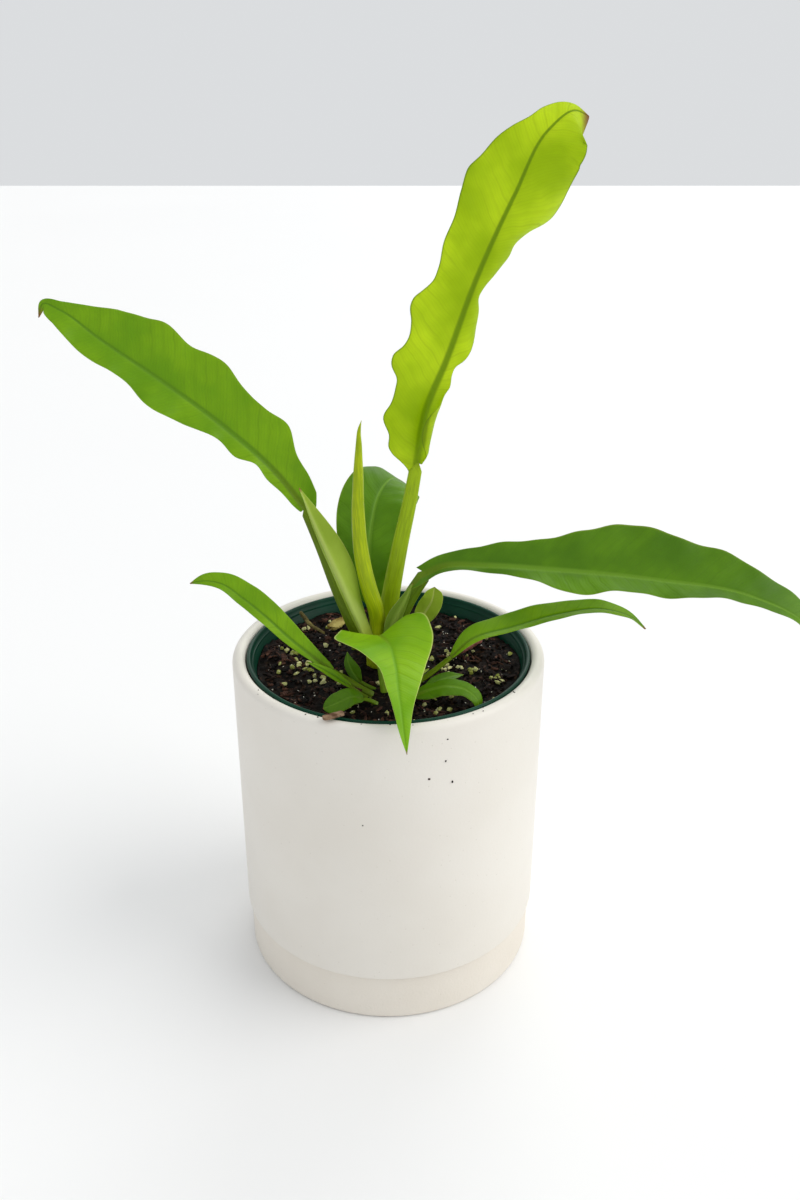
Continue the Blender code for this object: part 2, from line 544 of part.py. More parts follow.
def build_leaf(spec):
    """One leaf: a six-sided stalk that opens into a thin blade with a thicker rib."""
    t = np.linspace(0.0, 1.0, spec["rows"] + 1)[:-1]
    base_half, top_half = (width / 2.0 for width in spec["stalk_width"])
    rib_half = top_half * (1.0 - t) ** 0.7 * 0.8 + 0.25
    spec["rib_half"] = rib_half
    points, forward, side, face = axes_along(spec["rib"], spec["facing"], t)
    left = smooth(spec["left"], t)[:, 0]
    right = smooth(spec["right"], t)[:, 0]
    halves = {hand: blade_half(points, forward, side, face, widths, t, spec, hand)
              for hand, widths in ((-1, left), (1, right))}

    verts = []
    faces = []

    def add(point):
        verts.append(tuple(point))
        return len(verts) - 1

    # stalk rings, level at the foot
    stalk_places = by_length(spec["stalk"])[:, 0]
    s_points, s_forward, s_side, s_face = axes_along(
        spec["stalk"], [(0, *spec["facing"][0][1:]), (1, *spec["facing"][0][1:])], stalk_places)
    last = None
    for i, place in enumerate(stalk_places[:-1]):
        half = base_half + (top_half - base_half) * place
        across = s_side[i]
        deep = s_face[i]
        if i == 0:
            across = unit(np.array((across[0], across[1], 0.0)))
            deep = np.cross(across, (0.0, 0.0, 1.0))
            deep = deep if np.dot(deep, s_face[i]) > 0 else -deep
        ring = []
        for a, d in ((-0.8, 0.45), (0.0, 0.6), (0.8, 0.45), (0.8, -0.45), (0.0, -0.8), (-0.8, -0.45)):
            ring.append(add(s_points[i] + half * a * across + half * d * deep))
        if last is None:
            faces.append(tuple(reversed(ring)))
        else:
            for k in range(6):
                n = (k + 1) % 6
                faces.append((last[k], last[n], ring[n], ring[k]))
        last = ring

    # blade rows: the margin's point is shared by the upper and the lower face
    upper_rows = []
    lower_rows = []
    for i in range(len(t)):
        thick = BLADE_HALF_THICKNESS
        rib_depth = 0.5 + 0.8 * rib_half[i]
        left_columns = halves[-1][i]
        right_columns = halves[1][i]
        upper = [add(left_columns[-1])]
        upper += [add(p + thick * face[i]) for p in reversed(left_columns[:-1])]
        upper += [add(points[i] + 0.8 * thick * face[i])]
        upper += [add(p + thick * face[i]) for p in right_columns[:-1]]
        upper += [add(right_columns[-1])]
        lower = [upper[0]]
        lower += [add(p - thick * face[i]) for p in reversed(left_columns[:-1])]
        lower += [add(points[i] - rib_depth * face[i])]
        lower += [add(p - thick * face[i]) for p in right_columns[:-1]]
        lower += [upper[-1]]
        upper_rows.append(upper)
        lower_rows.append(lower)
    for rows, flip in ((upper_rows, False), (lower_rows, True)):
        for near, far in zip(rows, rows[1:]):
            for k in range(len(near) - 1):
                quad = (near[k], near[k + 1], far[k + 1], far[k])
                faces.append(tuple(reversed(quad)) if flip else quad)
    tip = add(smooth(by_length(spec["rib"]), [1.0])[0])
    for rows, flip in ((upper_rows, False), (lower_rows, True)):
        end = rows[-1]
        for k in range(len(end) - 1):
            triangle = (end[k], end[k + 1], tip)
            faces.append(tuple(reversed(triangle)) if flip else triangle)

    # the blade's open base edge, with the stalk joined on at the rib
    middle = BLADE_COLUMNS
    upper = upper_rows[0]
    lower = lower_rows[0]
    for k in range(2 * BLADE_COLUMNS):
        if k in (middle - 1, middle):
            continue
        corners = [upper[k + 1], upper[k], lower[k], lower[k + 1]]
        faces.append(tuple(dict.fromkeys(corners)))
    mouth = [upper[middle - 1], upper[middle], upper[middle + 1],
             lower[middle + 1], lower[middle], lower[middle - 1]]
    for k in range(6):
        n = (k + 1) % 6
        faces.append((last[k], last[n], mouth[n], mouth[k]))
    make_object(spec["name"], spec["finish"], verts, faces, sharp_angle=60.0)


def tube(name, finish, route, radii, sides):
    """A closed tapering rod along a route; a last radius of zero ends it in a point."""
    places = by_length(route)[:, 0]
    facing = [(0, *ROD_FACING), (1, *ROD_FACING)]
    points, _, side, face = axes_along(route, facing, places)
    pointed = radii[-1] <= 0.0
    verts = []
    rings = []
    for i in range(len(radii) - 1 if pointed else len(radii)):
        rings.append([len(verts) + k for k in range(sides)])
        for k in range(sides):
            a = 2.0 * math.pi * k / sides
            verts.append(tuple(points[i] + radii[i] * (math.cos(a) * side[i] + math.sin(a) * face[i])))
    faces = [tuple(reversed(rings[0]))]
    for near, far in zip(rings, rings[1:]):
        faces += [(near[k], near[(k + 1) % sides], far[(k + 1) % sides], far[k]) for k in range(sides)]
    end = rings[-1]
    if pointed:
        verts.append(tuple(points[-1]))
        faces += [(end[k], end[(k + 1) % sides], len(verts) - 1) for k in range(sides)]
    else:
        faces.append(tuple(end))
    make_object(name, finish, verts, faces)


def chip(name, finish, centre, size, turn, seed):
    """A flat broken chip: a block whose corners are each moved a little."""
    draw = np.random.default_rng(seed)
    ca, sa = math.cos(math.radians(turn)), math.sin(math.radians(turn))
    points = []
    for z in (-0.5, 0.5):
        for x, y in ((-0.5, -0.5), (0.0, -0.6), (0.5, -0.35), (0.5, 0.4), (-0.1, 0.55), (-0.5, 0.3)):
            shift = draw.uniform(-0.08, 0.08, 3)
            lx = (x + shift[0]) * size[0]
            ly = (y + shift[1]) * size[1]
            points.append((centre[0] + ca * lx - sa * ly, centre[1] + sa * lx + ca * ly,
                           centre[2] + (z + shift[2]) * size[2]))
    faces = [(5, 4, 3, 2, 1, 0), (6, 7, 8, 9, 10, 11)]
    faces += [(k, (k + 1) % 6, 6 + (k + 1) % 6, 6 + k) for k in range(6)]
    make_object(name, finish, points, faces, sharp_angle=20.0)


def build_litter():
    """The rolled new leaf, and the loose pieces that lie on the soil and on the rim."""
    for name, finish, centre, size, turn in CHIPS:
        chip(name, finish, centre, size, turn, seed=len(name))
    for name, finish, route, radii, sides in RODS:
        tube(name, finish, route, radii, sides)


def main():
    for found in list(bpy.data.objects):
        bpy.data.objects.remove(found, do_unlink=True)
    build_saucer()
    build_ceramic_pot()
    build_nursery_pot()
    build_soil()
    build_stems()
    for spec in LEAVES:
        build_leaf(dict(spec))
    build_litter()


main()
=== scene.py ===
# %% [markdown]
# # A young foliage plant in a ceramic pot, on its saucer
# The real object comes apart into pots, soil, stems, leaves and loose bits. The construction model
# already holds each of them at its real size. This lesson gives them their looks: turned pots with
# soft lips, a crumbly soil surface with its grains, and thin leaves with ribs, veins and wavy edges.

# %% Load the construction model
import bpy
import bmesh
import math
import numpy as np
from mathutils import Matrix, Vector, noise


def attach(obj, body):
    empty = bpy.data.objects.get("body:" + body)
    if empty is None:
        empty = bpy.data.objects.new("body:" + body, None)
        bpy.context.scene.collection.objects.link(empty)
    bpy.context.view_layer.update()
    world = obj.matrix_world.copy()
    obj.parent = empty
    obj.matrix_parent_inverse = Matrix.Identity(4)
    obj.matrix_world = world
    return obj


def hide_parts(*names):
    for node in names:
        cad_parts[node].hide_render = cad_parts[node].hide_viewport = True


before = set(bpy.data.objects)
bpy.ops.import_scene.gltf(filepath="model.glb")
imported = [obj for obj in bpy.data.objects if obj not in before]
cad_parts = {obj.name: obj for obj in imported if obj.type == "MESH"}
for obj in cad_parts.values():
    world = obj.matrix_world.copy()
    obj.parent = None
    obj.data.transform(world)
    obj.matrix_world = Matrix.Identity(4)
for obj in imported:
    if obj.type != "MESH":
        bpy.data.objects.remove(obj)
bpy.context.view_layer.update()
MM = 0.001
print("pieces in the construction model:", len(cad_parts))

# %% [markdown]
# ## The camera
# A camera a little above the plant, looking down at it by about 25 degrees, shows the leaves, the
# soil and the whole pot at once. Its distance and lens are those of a close portrait shot, so the
# pot narrows towards its foot.

# %% Camera
CAMERA_AT = (4.6, -390.0, 339.8)          # millimetres
CAMERA_TILT = 25.08                       # degrees below level
camera_data = bpy.data.cameras.new("camera")
camera_data.lens = 32.97
camera_data.sensor_width = 36.0
camera_data.clip_start = 0.01
camera = bpy.data.objects.new("camera", camera_data)
camera.location = Vector(CAMERA_AT) * MM
camera.rotation_euler = (math.radians(90.0 - CAMERA_TILT), 0.0, 0.0)
bpy.context.scene.collection.objects.link(camera)
bpy.context.scene.camera = camera
print("camera at", CAMERA_AT, "mm")

# %% [markdown]
# ## Helpers for surface finishes
# A surface finish is a small network of nodes: patterns, sums and mixes that end in one shader. Made
# by hand each node takes several lines, so a few helpers come first. They name what a maker wants:
# a sum, a blend of two colours, a smooth step from one value to another, and a bumped surface.

# %% Helpers for nodes
def new_material(name):
    """A material with its Principled shader and a function that adds nodes."""
    made = bpy.data.materials.new(name)
    made.use_nodes = True
    tree = made.node_tree
    shader = tree.nodes["Principled BSDF"]

    def add(kind, inputs=None, **settings):
        node = tree.nodes.new(kind)
        for key, value in settings.items():
            setattr(node, key, value)
        for key, value in (inputs or {}).items():
            if isinstance(value, bpy.types.NodeSocket):
                tree.links.new(value, node.inputs[key])
            else:
                node.inputs[key].default_value = value
        return node

    return made, tree, shader, add


def maths(add, operation, a, b=0.0, c=None):
    """A Math node's result; c is the number or socket that MULTIPLY_ADD adds."""
    inputs = {0: a, 1: b} if c is None else {0: a, 1: b, 2: c}
    return add("ShaderNodeMath", inputs, operation=operation).outputs[0]


def blend(add, share, first, second):
    """A mix of two colours; share 0 gives the first."""
    node = add("ShaderNodeMix", data_type="RGBA")
    for socket, value in ((0, share), (6, first), (7, second)):
        if isinstance(value, bpy.types.NodeSocket):
            node.id_data.links.new(value, node.inputs[socket])
        else:
            node.inputs[socket].default_value = value if socket == 0 else (*value[:3], 1.0)
    return node.outputs[2]


def step_up(add, value, low, high):
    """0 below low, 1 above high, and a smooth rise between them."""
    node = add("ShaderNodeMapRange", {0: value, 1: low, 2: high}, interpolation_type="SMOOTHSTEP")
    return node.outputs[0]


def bumped(add, tree, shader, height, distance, strength):
    """Gives the shader a bumped normal from a height."""
    node = add("ShaderNodeBump", {"Height": height, "Distance": distance, "Strength": strength})
    tree.links.new(node.outputs[0], shader.inputs["Normal"])


print("helpers for finishes are ready")

# %% [markdown]
# ## Floor and light
# A pale floor without an edge in view and a bright, even sky of light stand for a white studio. One
# very wide, soft sun from the right gives the round pots and the leaves a gentle direction of light,
# and a weaker one behind the plant makes its thin leaves glow.

# %% Floor and lamps
floor_material, floor_tree, floor_shader, add = new_material("pale_floor")
floor_noise = add("ShaderNodeTexNoise", {"Scale": 6.0, "Detail": 3.0})
floor_colour = blend(add, floor_noise.outputs[0], (0.86, 0.86, 0.86), (0.90, 0.90, 0.895))
floor_tree.links.new(floor_colour, floor_shader.inputs["Base Color"])
floor_shader.inputs["Roughness"].default_value = 0.6
FLOOR_HALF = 4.0          # metres
FLOOR_DROP = 0.0001       # metres from the saucer's underside down to the floor
floor_corners = [(x * FLOOR_HALF, y * FLOOR_HALF, -FLOOR_DROP)
                 for x, y in ((-1, -1), (1, -1), (1, 1), (-1, 1))]
floor_mesh = bpy.data.meshes.new("floor")
floor_mesh.from_pydata(floor_corners, [], [(0, 1, 2, 3)])
floor_mesh.materials.append(floor_material)
floor = bpy.data.objects.new("floor", floor_mesh)
bpy.context.scene.collection.objects.link(floor)

world = bpy.data.worlds.new("studio_light")
world.use_nodes = True
sky = world.node_tree.nodes["Background"]
sky.inputs["Color"].default_value = (0.96, 0.98, 1.0, 1.0)
sky.inputs["Strength"].default_value = 0.74
bpy.context.scene.world = world
bpy.context.scene.view_settings.view_transform = "Standard"


def wide_sun(name, place, power, colour, width):
    """A soft sun that shines from a place toward the plant; width is in degrees of sky."""
    data = bpy.data.lights.new(name, "SUN")
    data.energy = power
    data.color = colour
    data.angle = math.radians(width)
    lamp = bpy.data.objects.new(name, data)
    lamp.location = place
    lamp.rotation_euler = (-Vector(place)).to_track_quat("-Z", "Y").to_euler()
    bpy.context.scene.collection.objects.link(lamp)


wide_sun("wide_sun_right", (1.0, -0.12, 0.85), 1.45, (1.0, 0.985, 0.96), 50.0)
wide_sun("wide_sun_behind", (0.3, 1.0, 0.75), 0.6, (1.0, 1.0, 0.97), 40.0)
print("floor, sky and lamps are in place")

# %% [markdown]
# ## Curves through a list of points
# A leaf's rib, its width and the way it faces all change along its length. Each is a list of points,
# read as one smooth curve. The widths of the three long leaves and most routes start from the figures
# of a separate fitting program, and many were then changed by eye. `smooth` reads a list at any place,
# `by_length` places the points of a route by distance, and `axes_along` turns a route into
# positions with a forward, a sideways and a facing direction.

# %% Curve helpers
def smooth(stations, t):
    """Reads a smooth curve through (place, values...) rows at the places t."""
    table = np.array(stations, float)
    place = table[:, 0]
    value = table[:, 1:]
    slope = np.gradient(value, place, axis=0)
    t = np.atleast_1d(np.asarray(t, float))
    k = np.clip(np.searchsorted(place, t, side="right") - 1, 0, len(place) - 2)
    h = (place[k + 1] - place[k])[:, None]
    s = np.clip((t - place[k])[:, None] / h, 0.0, 1.0)
    start = (2 * s**3 - 3 * s**2 + 1) * value[k] + (s**3 - 2 * s**2 + s) * h * slope[k]
    end = (3 * s**2 - 2 * s**3) * value[k + 1] + (s**3 - s**2) * h * slope[k + 1]
    return start + end


def by_length(route):
    """Rows of (place from 0 to 1, x, y, z) for a list of points, placed by distance."""
    points = np.array(route, float)
    steps = np.linalg.norm(np.diff(points, axis=0), axis=1)
    place = np.concatenate(([0.0], np.cumsum(steps))) / steps.sum()
    return np.column_stack((place, points))


def unit(vectors):
    """The same directions with length 1."""
    return vectors / np.linalg.norm(vectors, axis=-1, keepdims=True)


def axes_along(route, facing, t):
    """Points, forward, sideways and face directions of a route at the places t.

    facing is one direction, or rows of (place, x, y, z)."""
    if isinstance(facing, tuple):
        facing = [(0, *facing), (1, *facing)]
    table = by_length(route)
    near = 0.004          # share of the route over which its direction is measured
    points = smooth(table, t)
    ahead = smooth(table, np.clip(t + near, 0.0, 1.0))
    behind = smooth(table, np.clip(t - near, 0.0, 1.0))
    forward = unit(ahead - behind)
    side = unit(np.cross(forward, unit(smooth(facing, t))))
    return points, forward, side, np.cross(side, forward)


def route_length(route):
    """The length of a route through its points, in millimetres."""
    points = np.array(route, float)
    return float(np.linalg.norm(np.diff(points, axis=0), axis=1).sum())


print("a straight route of 30 mm measures", route_length([(0, 0, 0), (0, 0, 10), (0, 0, 30)]))

# %% [markdown]
# ## Making a piece
# Every piece is worked out as points in millimetres and as faces between them, then handed to one
# function. It scales the points to metres, turns all faces outward, smooths them, and ties the piece
# to the plant's one body. `band` gives the faces between two rings of points, which pots, stalks,
# stems and small lumps are all made of.

# %% Piece helper
def band(near, far):
    """Faces between two closed rings with the same number of points."""
    count = len(near)
    return [(near[k], near[(k + 1) % count], far[(k + 1) % count], far[k]) for k in range(count)]


def make_piece(name, points, faces, finishes, node=None, marks=None, maps=None, sharp=None):
    """An object from millimetre points that rides on the plant's one body.

    node is the construction piece it replaces, marks gives each face's finish, maps holds flat
    coordinates for each point, and edges steeper than sharp degrees stay sharp."""
    mesh = bpy.data.meshes.new(name)
    mesh.from_pydata((np.asarray(points, float) * MM).tolist(), [], faces)
    for finish in finishes:
        mesh.materials.append(finish)
    if marks is not None:
        mesh.polygons.foreach_set("material_index", np.asarray(marks, np.int32))
    corner_points = np.zeros(len(mesh.loops), np.int32)
    mesh.loops.foreach_get("vertex_index", corner_points)
    for map_name, values in (maps or {}).items():
        layer = mesh.uv_layers.new(name=map_name)
        layer.uv.foreach_set("vector", np.asarray(values, np.float32)[corner_points].ravel())
    work = bmesh.new()
    work.from_mesh(mesh)
    bmesh.ops.recalc_face_normals(work, faces=work.faces)
    work.to_mesh(mesh)
    work.free()
    mesh.shade_smooth()
    if sharp is not None:
        mesh.set_sharp_from_angle(angle=math.radians(sharp))
    made = bpy.data.objects.new(name, mesh)
    bpy.context.scene.collection.objects.link(made)
    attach(made, "root")
    if node:
        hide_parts(node)


print("a band between two rings of 3 points:", band([0, 1, 2], [3, 4, 5]))

# %% [markdown]
# ## Ceramic finishes
# The pot has a warm white satin glaze: almost even, with faint clouds, tiny pits and a slightly
# rougher feel where the glaze is thin. The saucer is the same clay with less glaze, so it is
# beiger and duller, with a fine grain.

# %% Ceramic
def ceramic_finish(name, light, dark, roughness, grain):
    """A matte glaze: faint clouds of two tones, tiny pits and a fine grain."""
    made, tree, shader, add = new_material(name)
    coords = add("ShaderNodeTexCoord").outputs["Object"]
    clouds = add("ShaderNodeTexNoise", {"Vector": coords, "Scale": 22.0, "Detail": 4.0}).outputs[0]
    fine = add("ShaderNodeTexNoise", {"Vector": coords, "Scale": 900.0, "Detail": 3.0}).outputs[0]
    pits = add("ShaderNodeTexVoronoi", {"Vector": coords, "Scale": 260.0}).outputs[0]
    pit_mask = maths(add, "SUBTRACT", 1.0, step_up(add, pits, 0.02, 0.10))
    share = step_up(add, clouds, 0.3, 0.75)
    colour = blend(add, share, light, dark)
    colour = blend(add, maths(add, "MULTIPLY", pit_mask, 0.25), colour, (0.42, 0.36, 0.28))
    tree.links.new(colour, shader.inputs["Base Color"])
    rough = maths(add, "MULTIPLY_ADD", clouds, 0.12, roughness)
    tree.links.new(rough, shader.inputs["Roughness"])
    height = maths(add, "MULTIPLY_ADD", fine, grain, maths(add, "MULTIPLY", clouds, 0.8))
    height = maths(add, "SUBTRACT", height, maths(add, "MULTIPLY", pit_mask, 0.5))
    bumped(add, tree, shader, height, 0.0004, 0.35)
    return made


pot_glaze = ceramic_finish("pot_glaze", (0.80, 0.765, 0.70), (0.77, 0.73, 0.66), 0.38, 0.3)
saucer_clay = ceramic_finish("saucer_clay", (0.79, 0.74, 0.66), (0.75, 0.695, 0.61), 0.55, 0.9)
print("ceramic finishes:", pot_glaze.name, saucer_clay.name)

# %% [markdown]
# ## Turned pots
# Each pot is a profile turned round the upright axis, as a potter's wheel or a mould makes it. The
# profile is closed, so the wall has an outside, a lip and an inside. Soft lips come from arcs.

# %% Turning a profile
TURN_STEPS = 160


def arc(r, z, radius, start, end, steps):
    """Points of an arc in the (radius, height) plane, angles in degrees."""
    angles = np.radians(np.linspace(start, end, steps + 1))
    return [(r + radius * math.cos(a), z + radius * math.sin(a)) for a in angles]


def turned(name, outline, finish, node):
    """A closed shell turned from a closed (radius, height) outline; radius 0 is a centre point."""
    points = []
    rings = []
    turn = np.linspace(0.0, 2.0 * math.pi, TURN_STEPS, endpoint=False)
    for r, z in outline:
        first = len(points)
        if r == 0.0:
            points.append((0.0, 0.0, z))
        else:
            points += [(r * math.cos(a), r * math.sin(a), z) for a in turn]
        rings.append(list(range(first, len(points))))
    faces = []
    for i, lower in enumerate(rings):
        upper = rings[(i + 1) % len(rings)]
        if len(lower) > 1 and len(upper) > 1:
            faces += band(lower, upper)
        elif len(upper) > 1:
            faces += [(lower[0], upper[(k + 1) % TURN_STEPS], upper[k]) for k in range(TURN_STEPS)]
        elif len(lower) > 1:
            faces += [(lower[k], lower[(k + 1) % TURN_STEPS], upper[0]) for k in range(TURN_STEPS)]
    make_piece(name, points, faces, [finish], node, sharp=50.0)


print("a quarter arc of radius 2:", arc(0.0, 0.0, 2.0, 0, 90, 2))

# %% [markdown]
# ## Saucer and ceramic pot
# The saucer is a shallow dish, almost flush with the pot that stands in it. The pot's foot is drawn
# in to fit the dish, its wall is straight and its lip is one round arc. Both profiles run up the
# outside, over the lip and down the inside. The pot's floor has a hole for water to drain.

# %% Saucer and ceramic pot
SAUCER_RADIUS = 60.7
SAUCER_HEIGHT = 20.9
SAUCER_WALL = 5.2
SAUCER_FLOOR = 5.0
SAUCER_FOOT_ROUND = 1.5   # radius of the rounding under the saucer's edge
EDGE_ROUND = 0.8          # radius of the small rounded edges
POT_RADIUS = 62.0
POT_TOP = 136.5
POT_WALL = 5.2
POT_FOOT = 5.3            # heights of the foot, the under side of the floor and the floor
POT_UNDER_FLOOR = 11.3
POT_FLOOR = 17.3
DRAIN_RADIUS = 8.0
GAP = 0.3                 # between the saucer's lip and the pot's wall above it

inner = SAUCER_RADIUS - SAUCER_WALL
foot = SAUCER_RADIUS - SAUCER_FOOT_ROUND
round_z = SAUCER_HEIGHT - EDGE_ROUND
saucer_outline = [(0.0, 0.0), (foot, 0.0)]
saucer_outline += arc(foot, SAUCER_FOOT_ROUND, SAUCER_FOOT_ROUND, -75, 0, 5)
saucer_outline += arc(SAUCER_RADIUS - EDGE_ROUND, round_z, EDGE_ROUND, 0, 90, 4)
saucer_outline += arc(inner + EDGE_ROUND, round_z, EDGE_ROUND, 90, 180, 4)
saucer_outline += arc(inner - 3.0, SAUCER_FLOOR + 3.0, 3.0, 0, -90, 6) + [(0.0, SAUCER_FLOOR)]
turned("saucer_dish", saucer_outline, saucer_clay, "saucer")

lip = POT_WALL / 2.0
wall_z = SAUCER_HEIGHT + GAP
pot_outline = [(47.0, POT_FOOT), (51.4, POT_FOOT), (52.2, 7.7), (54.6, wall_z)]
pot_outline += arc(POT_RADIUS - EDGE_ROUND, wall_z + EDGE_ROUND, EDGE_ROUND, -90, 0, 4)
pot_outline += arc(POT_RADIUS - lip, POT_TOP - lip, lip, 0, 180, 14)
pot_outline += [(POT_RADIUS - POT_WALL, 34.0), (55.6, 27.0), (51.0, 19.6), (47.5, POT_FLOOR)]
pot_outline += [(DRAIN_RADIUS, POT_FLOOR), (DRAIN_RADIUS, POT_UNDER_FLOOR), (47.0, POT_UNDER_FLOOR)]
turned("ceramic_cylinder_pot", pot_outline, pot_glaze, "ceramic_pot")
print("pot wall", POT_WALL, "mm, lip radius", lip, "mm")

# %% [markdown]
# ## Nursery pot
# A thin moulded plastic pot hides inside the ceramic one. Only its rolled rim and the stepped rings
# under it show. The plastic is dark green, fairly smooth, with fine scratches and a dusty bloom.

# %% Nursery plastic and pot
def plastic_finish():
    """Dark green moulded plastic with a dusty bloom and fine level scratches."""
    made, tree, shader, add = new_material("nursery_plastic")
    coords = add("ShaderNodeTexCoord").outputs["Object"]
    dust = add("ShaderNodeTexNoise", {"Vector": coords, "Scale": 70.0, "Detail": 5.0}).outputs[0]
    flat = add("ShaderNodeMapping", {"Vector": coords, "Scale": (60.0, 60.0, 2500.0)}).outputs[0]
    lines = add("ShaderNodeTexNoise", {"Vector": flat, "Scale": 1.0, "Detail": 2.0}).outputs[0]
    share = maths(add, "MULTIPLY", step_up(add, dust, 0.45, 0.8), 0.5)
    colour = blend(add, share, (0.001, 0.038, 0.020), (0.006, 0.065, 0.038))
    tree.links.new(colour, shader.inputs["Base Color"])
    rough = maths(add, "MULTIPLY_ADD", dust, 0.25, 0.22)
    tree.links.new(rough, shader.inputs["Roughness"])
    shader.inputs["Specular IOR Level"].default_value = 0.14
    bumped(add, tree, shader, lines, 0.0002, 0.4)
    return made


nursery_plastic = plastic_finish()
NURSERY_BOTTOM = 17.6
NURSERY_TOP = 135.8
NURSERY_RIM = 56.5
NURSERY_HOLE = 6.0        # radius of the drain hole in its floor
nursery_outline = [(NURSERY_HOLE, NURSERY_BOTTOM), (41.5, NURSERY_BOTTOM), (43.0, NURSERY_BOTTOM + 1.5)]
nursery_outline += [(53.8, 124.5), (55.7, 126.3), (55.9, 133.2)]
nursery_outline += arc(NURSERY_RIM - 0.9, NURSERY_TOP - 0.9, 0.9, -30, 140, 10)
nursery_outline += [(54.7, 135.0), (54.4, 133.6), (53.9, 133.3), (53.8, 132.4), (53.4, 132.1),
                    (53.3, 131.1), (52.9, 130.8), (52.5, 123.5), (41.6, 20.0), (40.4, 18.8),
                    (NURSERY_HOLE, 18.8)]
turned("nursery_pot_shell", nursery_outline, nursery_plastic, "nursery_pot")
print("nursery pot rim", 2 * NURSERY_RIM, "mm across")

# %% [markdown]
# ## Potting soil
# The soil is a dark, moist bark and peat mix. Its surface is not smooth: it is clods, crumbs and
# holes from a few tenths of a millimetre to several millimetres. Here a round sheet of fine cells is
# pushed up and down by layered noise, which gives real relief for the light to catch. The sheet
# closes over a simple block, because the rest of the soil is hidden in the pot.

# %% Soil finish
def soil_finish():
    """Nearly black, moist soil with a few red brown crumbs."""
    made, tree, shader, add = new_material("potting_soil_surface")
    coords = add("ShaderNodeTexCoord").outputs["Object"]
    coarse = add("ShaderNodeTexNoise", {"Vector": coords, "Scale": 260.0, "Detail": 6.0}).outputs[0]
    fine = add("ShaderNodeTexNoise", {"Vector": coords, "Scale": 1500.0, "Detail": 4.0}).outputs[0]
    crumbs = add("ShaderNodeTexVoronoi", {"Vector": coords, "Scale": 900.0}).outputs["Color"]
    crumb = add("ShaderNodeSeparateColor", {0: crumbs}).outputs[0]
    share = step_up(add, coarse, 0.35, 0.7)
    colour = blend(add, share, (0.0014, 0.0009, 0.0006), (0.011, 0.006, 0.0035))
    crumb_share = maths(add, "MULTIPLY", step_up(add, crumb, 0.84, 0.97), 0.6)
    colour = blend(add, crumb_share, colour, (0.06, 0.028, 0.016))
    tree.links.new(colour, shader.inputs["Base Color"])
    rough = maths(add, "MULTIPLY_ADD", fine, 0.4, 0.55)
    tree.links.new(rough, shader.inputs["Roughness"])
    shader.inputs["Specular IOR Level"].default_value = 0.12
    bumped(add, tree, shader, fine, 0.0006, 0.8)
    return made


soil_dark = soil_finish()
print("soil finish:", soil_dark.name)

# %% [markdown]
# ## The soil's relief
# The height of the surface is a formula of the place: broad lumps, clods, crumbs and dust, each
# smaller than the one before, and a low mound round each stem. The lumps scattered over the soil ask
# the same formula for their height.

# %% Soil surface
SOIL_LEVEL = 130.2
SOIL_RADIUS = 52.6
MAIN_STEM_AT = (-3.0, 2.0)
SIDE_STEM_AT = (0.0, -31.0)


def soil_height(x, y):
    """The soil's surface: broad lumps, clods and crumbs, in millimetres."""
    broad = (0.9 * math.sin(x / 7.0 + 1.3) * math.cos(y / 8.0)
             + 0.6 * math.sin(x / 3.7 + y / 5.1 + 0.4))
    clods = noise.noise(Vector((x / 3.1, y / 3.1, 2.0))) * 0.9
    cells = noise.voronoi(Vector((x / 1.9, y / 1.9, 5.0)))[0]
    crumbs = (cells[1] - cells[0]) * 0.9 - 0.35
    dust = noise.noise(Vector((x / 0.55, y / 0.55, 7.0))) * 0.22
    mound = 0.0
    for (cx, cy), reach, rise in ((MAIN_STEM_AT, 21.0, 4.6), (SIDE_STEM_AT, 13.5, 2.5)):
        mound += rise * max(0.0, 1.0 - (math.hypot(x - cx, y - cy) / reach) ** 4)
    return SOIL_LEVEL - 0.3 + broad + clods + crumbs + dust + mound


SOIL_RINGS = 105
SOIL_STEPS = 400
SOIL_BLOCK = ((52.0, 122.0), (40.4, 20.3), (38.9, 19.3))     # radius and height below the surface
soil_turns = [2.0 * math.pi * k / SOIL_STEPS for k in range(SOIL_STEPS)]
soil_points = [(0.0, 0.0, soil_height(0.0, 0.0))]
for ring in range(1, SOIL_RINGS + 1):
    radius = SOIL_RADIUS * ring / SOIL_RINGS
    for a in soil_turns:
        x, y = radius * math.cos(a), radius * math.sin(a)
        soil_points.append((x, y, soil_height(x, y)))
for radius, z in SOIL_BLOCK:
    soil_points += [(radius * math.cos(a), radius * math.sin(a), z) for a in soil_turns]
soil_faces = [(0, 1 + k, 1 + (k + 1) % SOIL_STEPS) for k in range(SOIL_STEPS)]
for ring in range(SOIL_RINGS + len(SOIL_BLOCK) - 1):
    near, far = 1 + ring * SOIL_STEPS, 1 + (ring + 1) * SOIL_STEPS
    soil_faces += [(near + k, far + k, far + (k + 1) % SOIL_STEPS, near + (k + 1) % SOIL_STEPS)
                   for k in range(SOIL_STEPS)]
last = 1 + (SOIL_RINGS + len(SOIL_BLOCK) - 1) * SOIL_STEPS
soil_faces.append(tuple(last + k for k in reversed(range(SOIL_STEPS))))
make_piece("soil_bed", soil_points, soil_faces, [soil_dark], "potting_soil")
print("soil surface points:", len(soil_points))
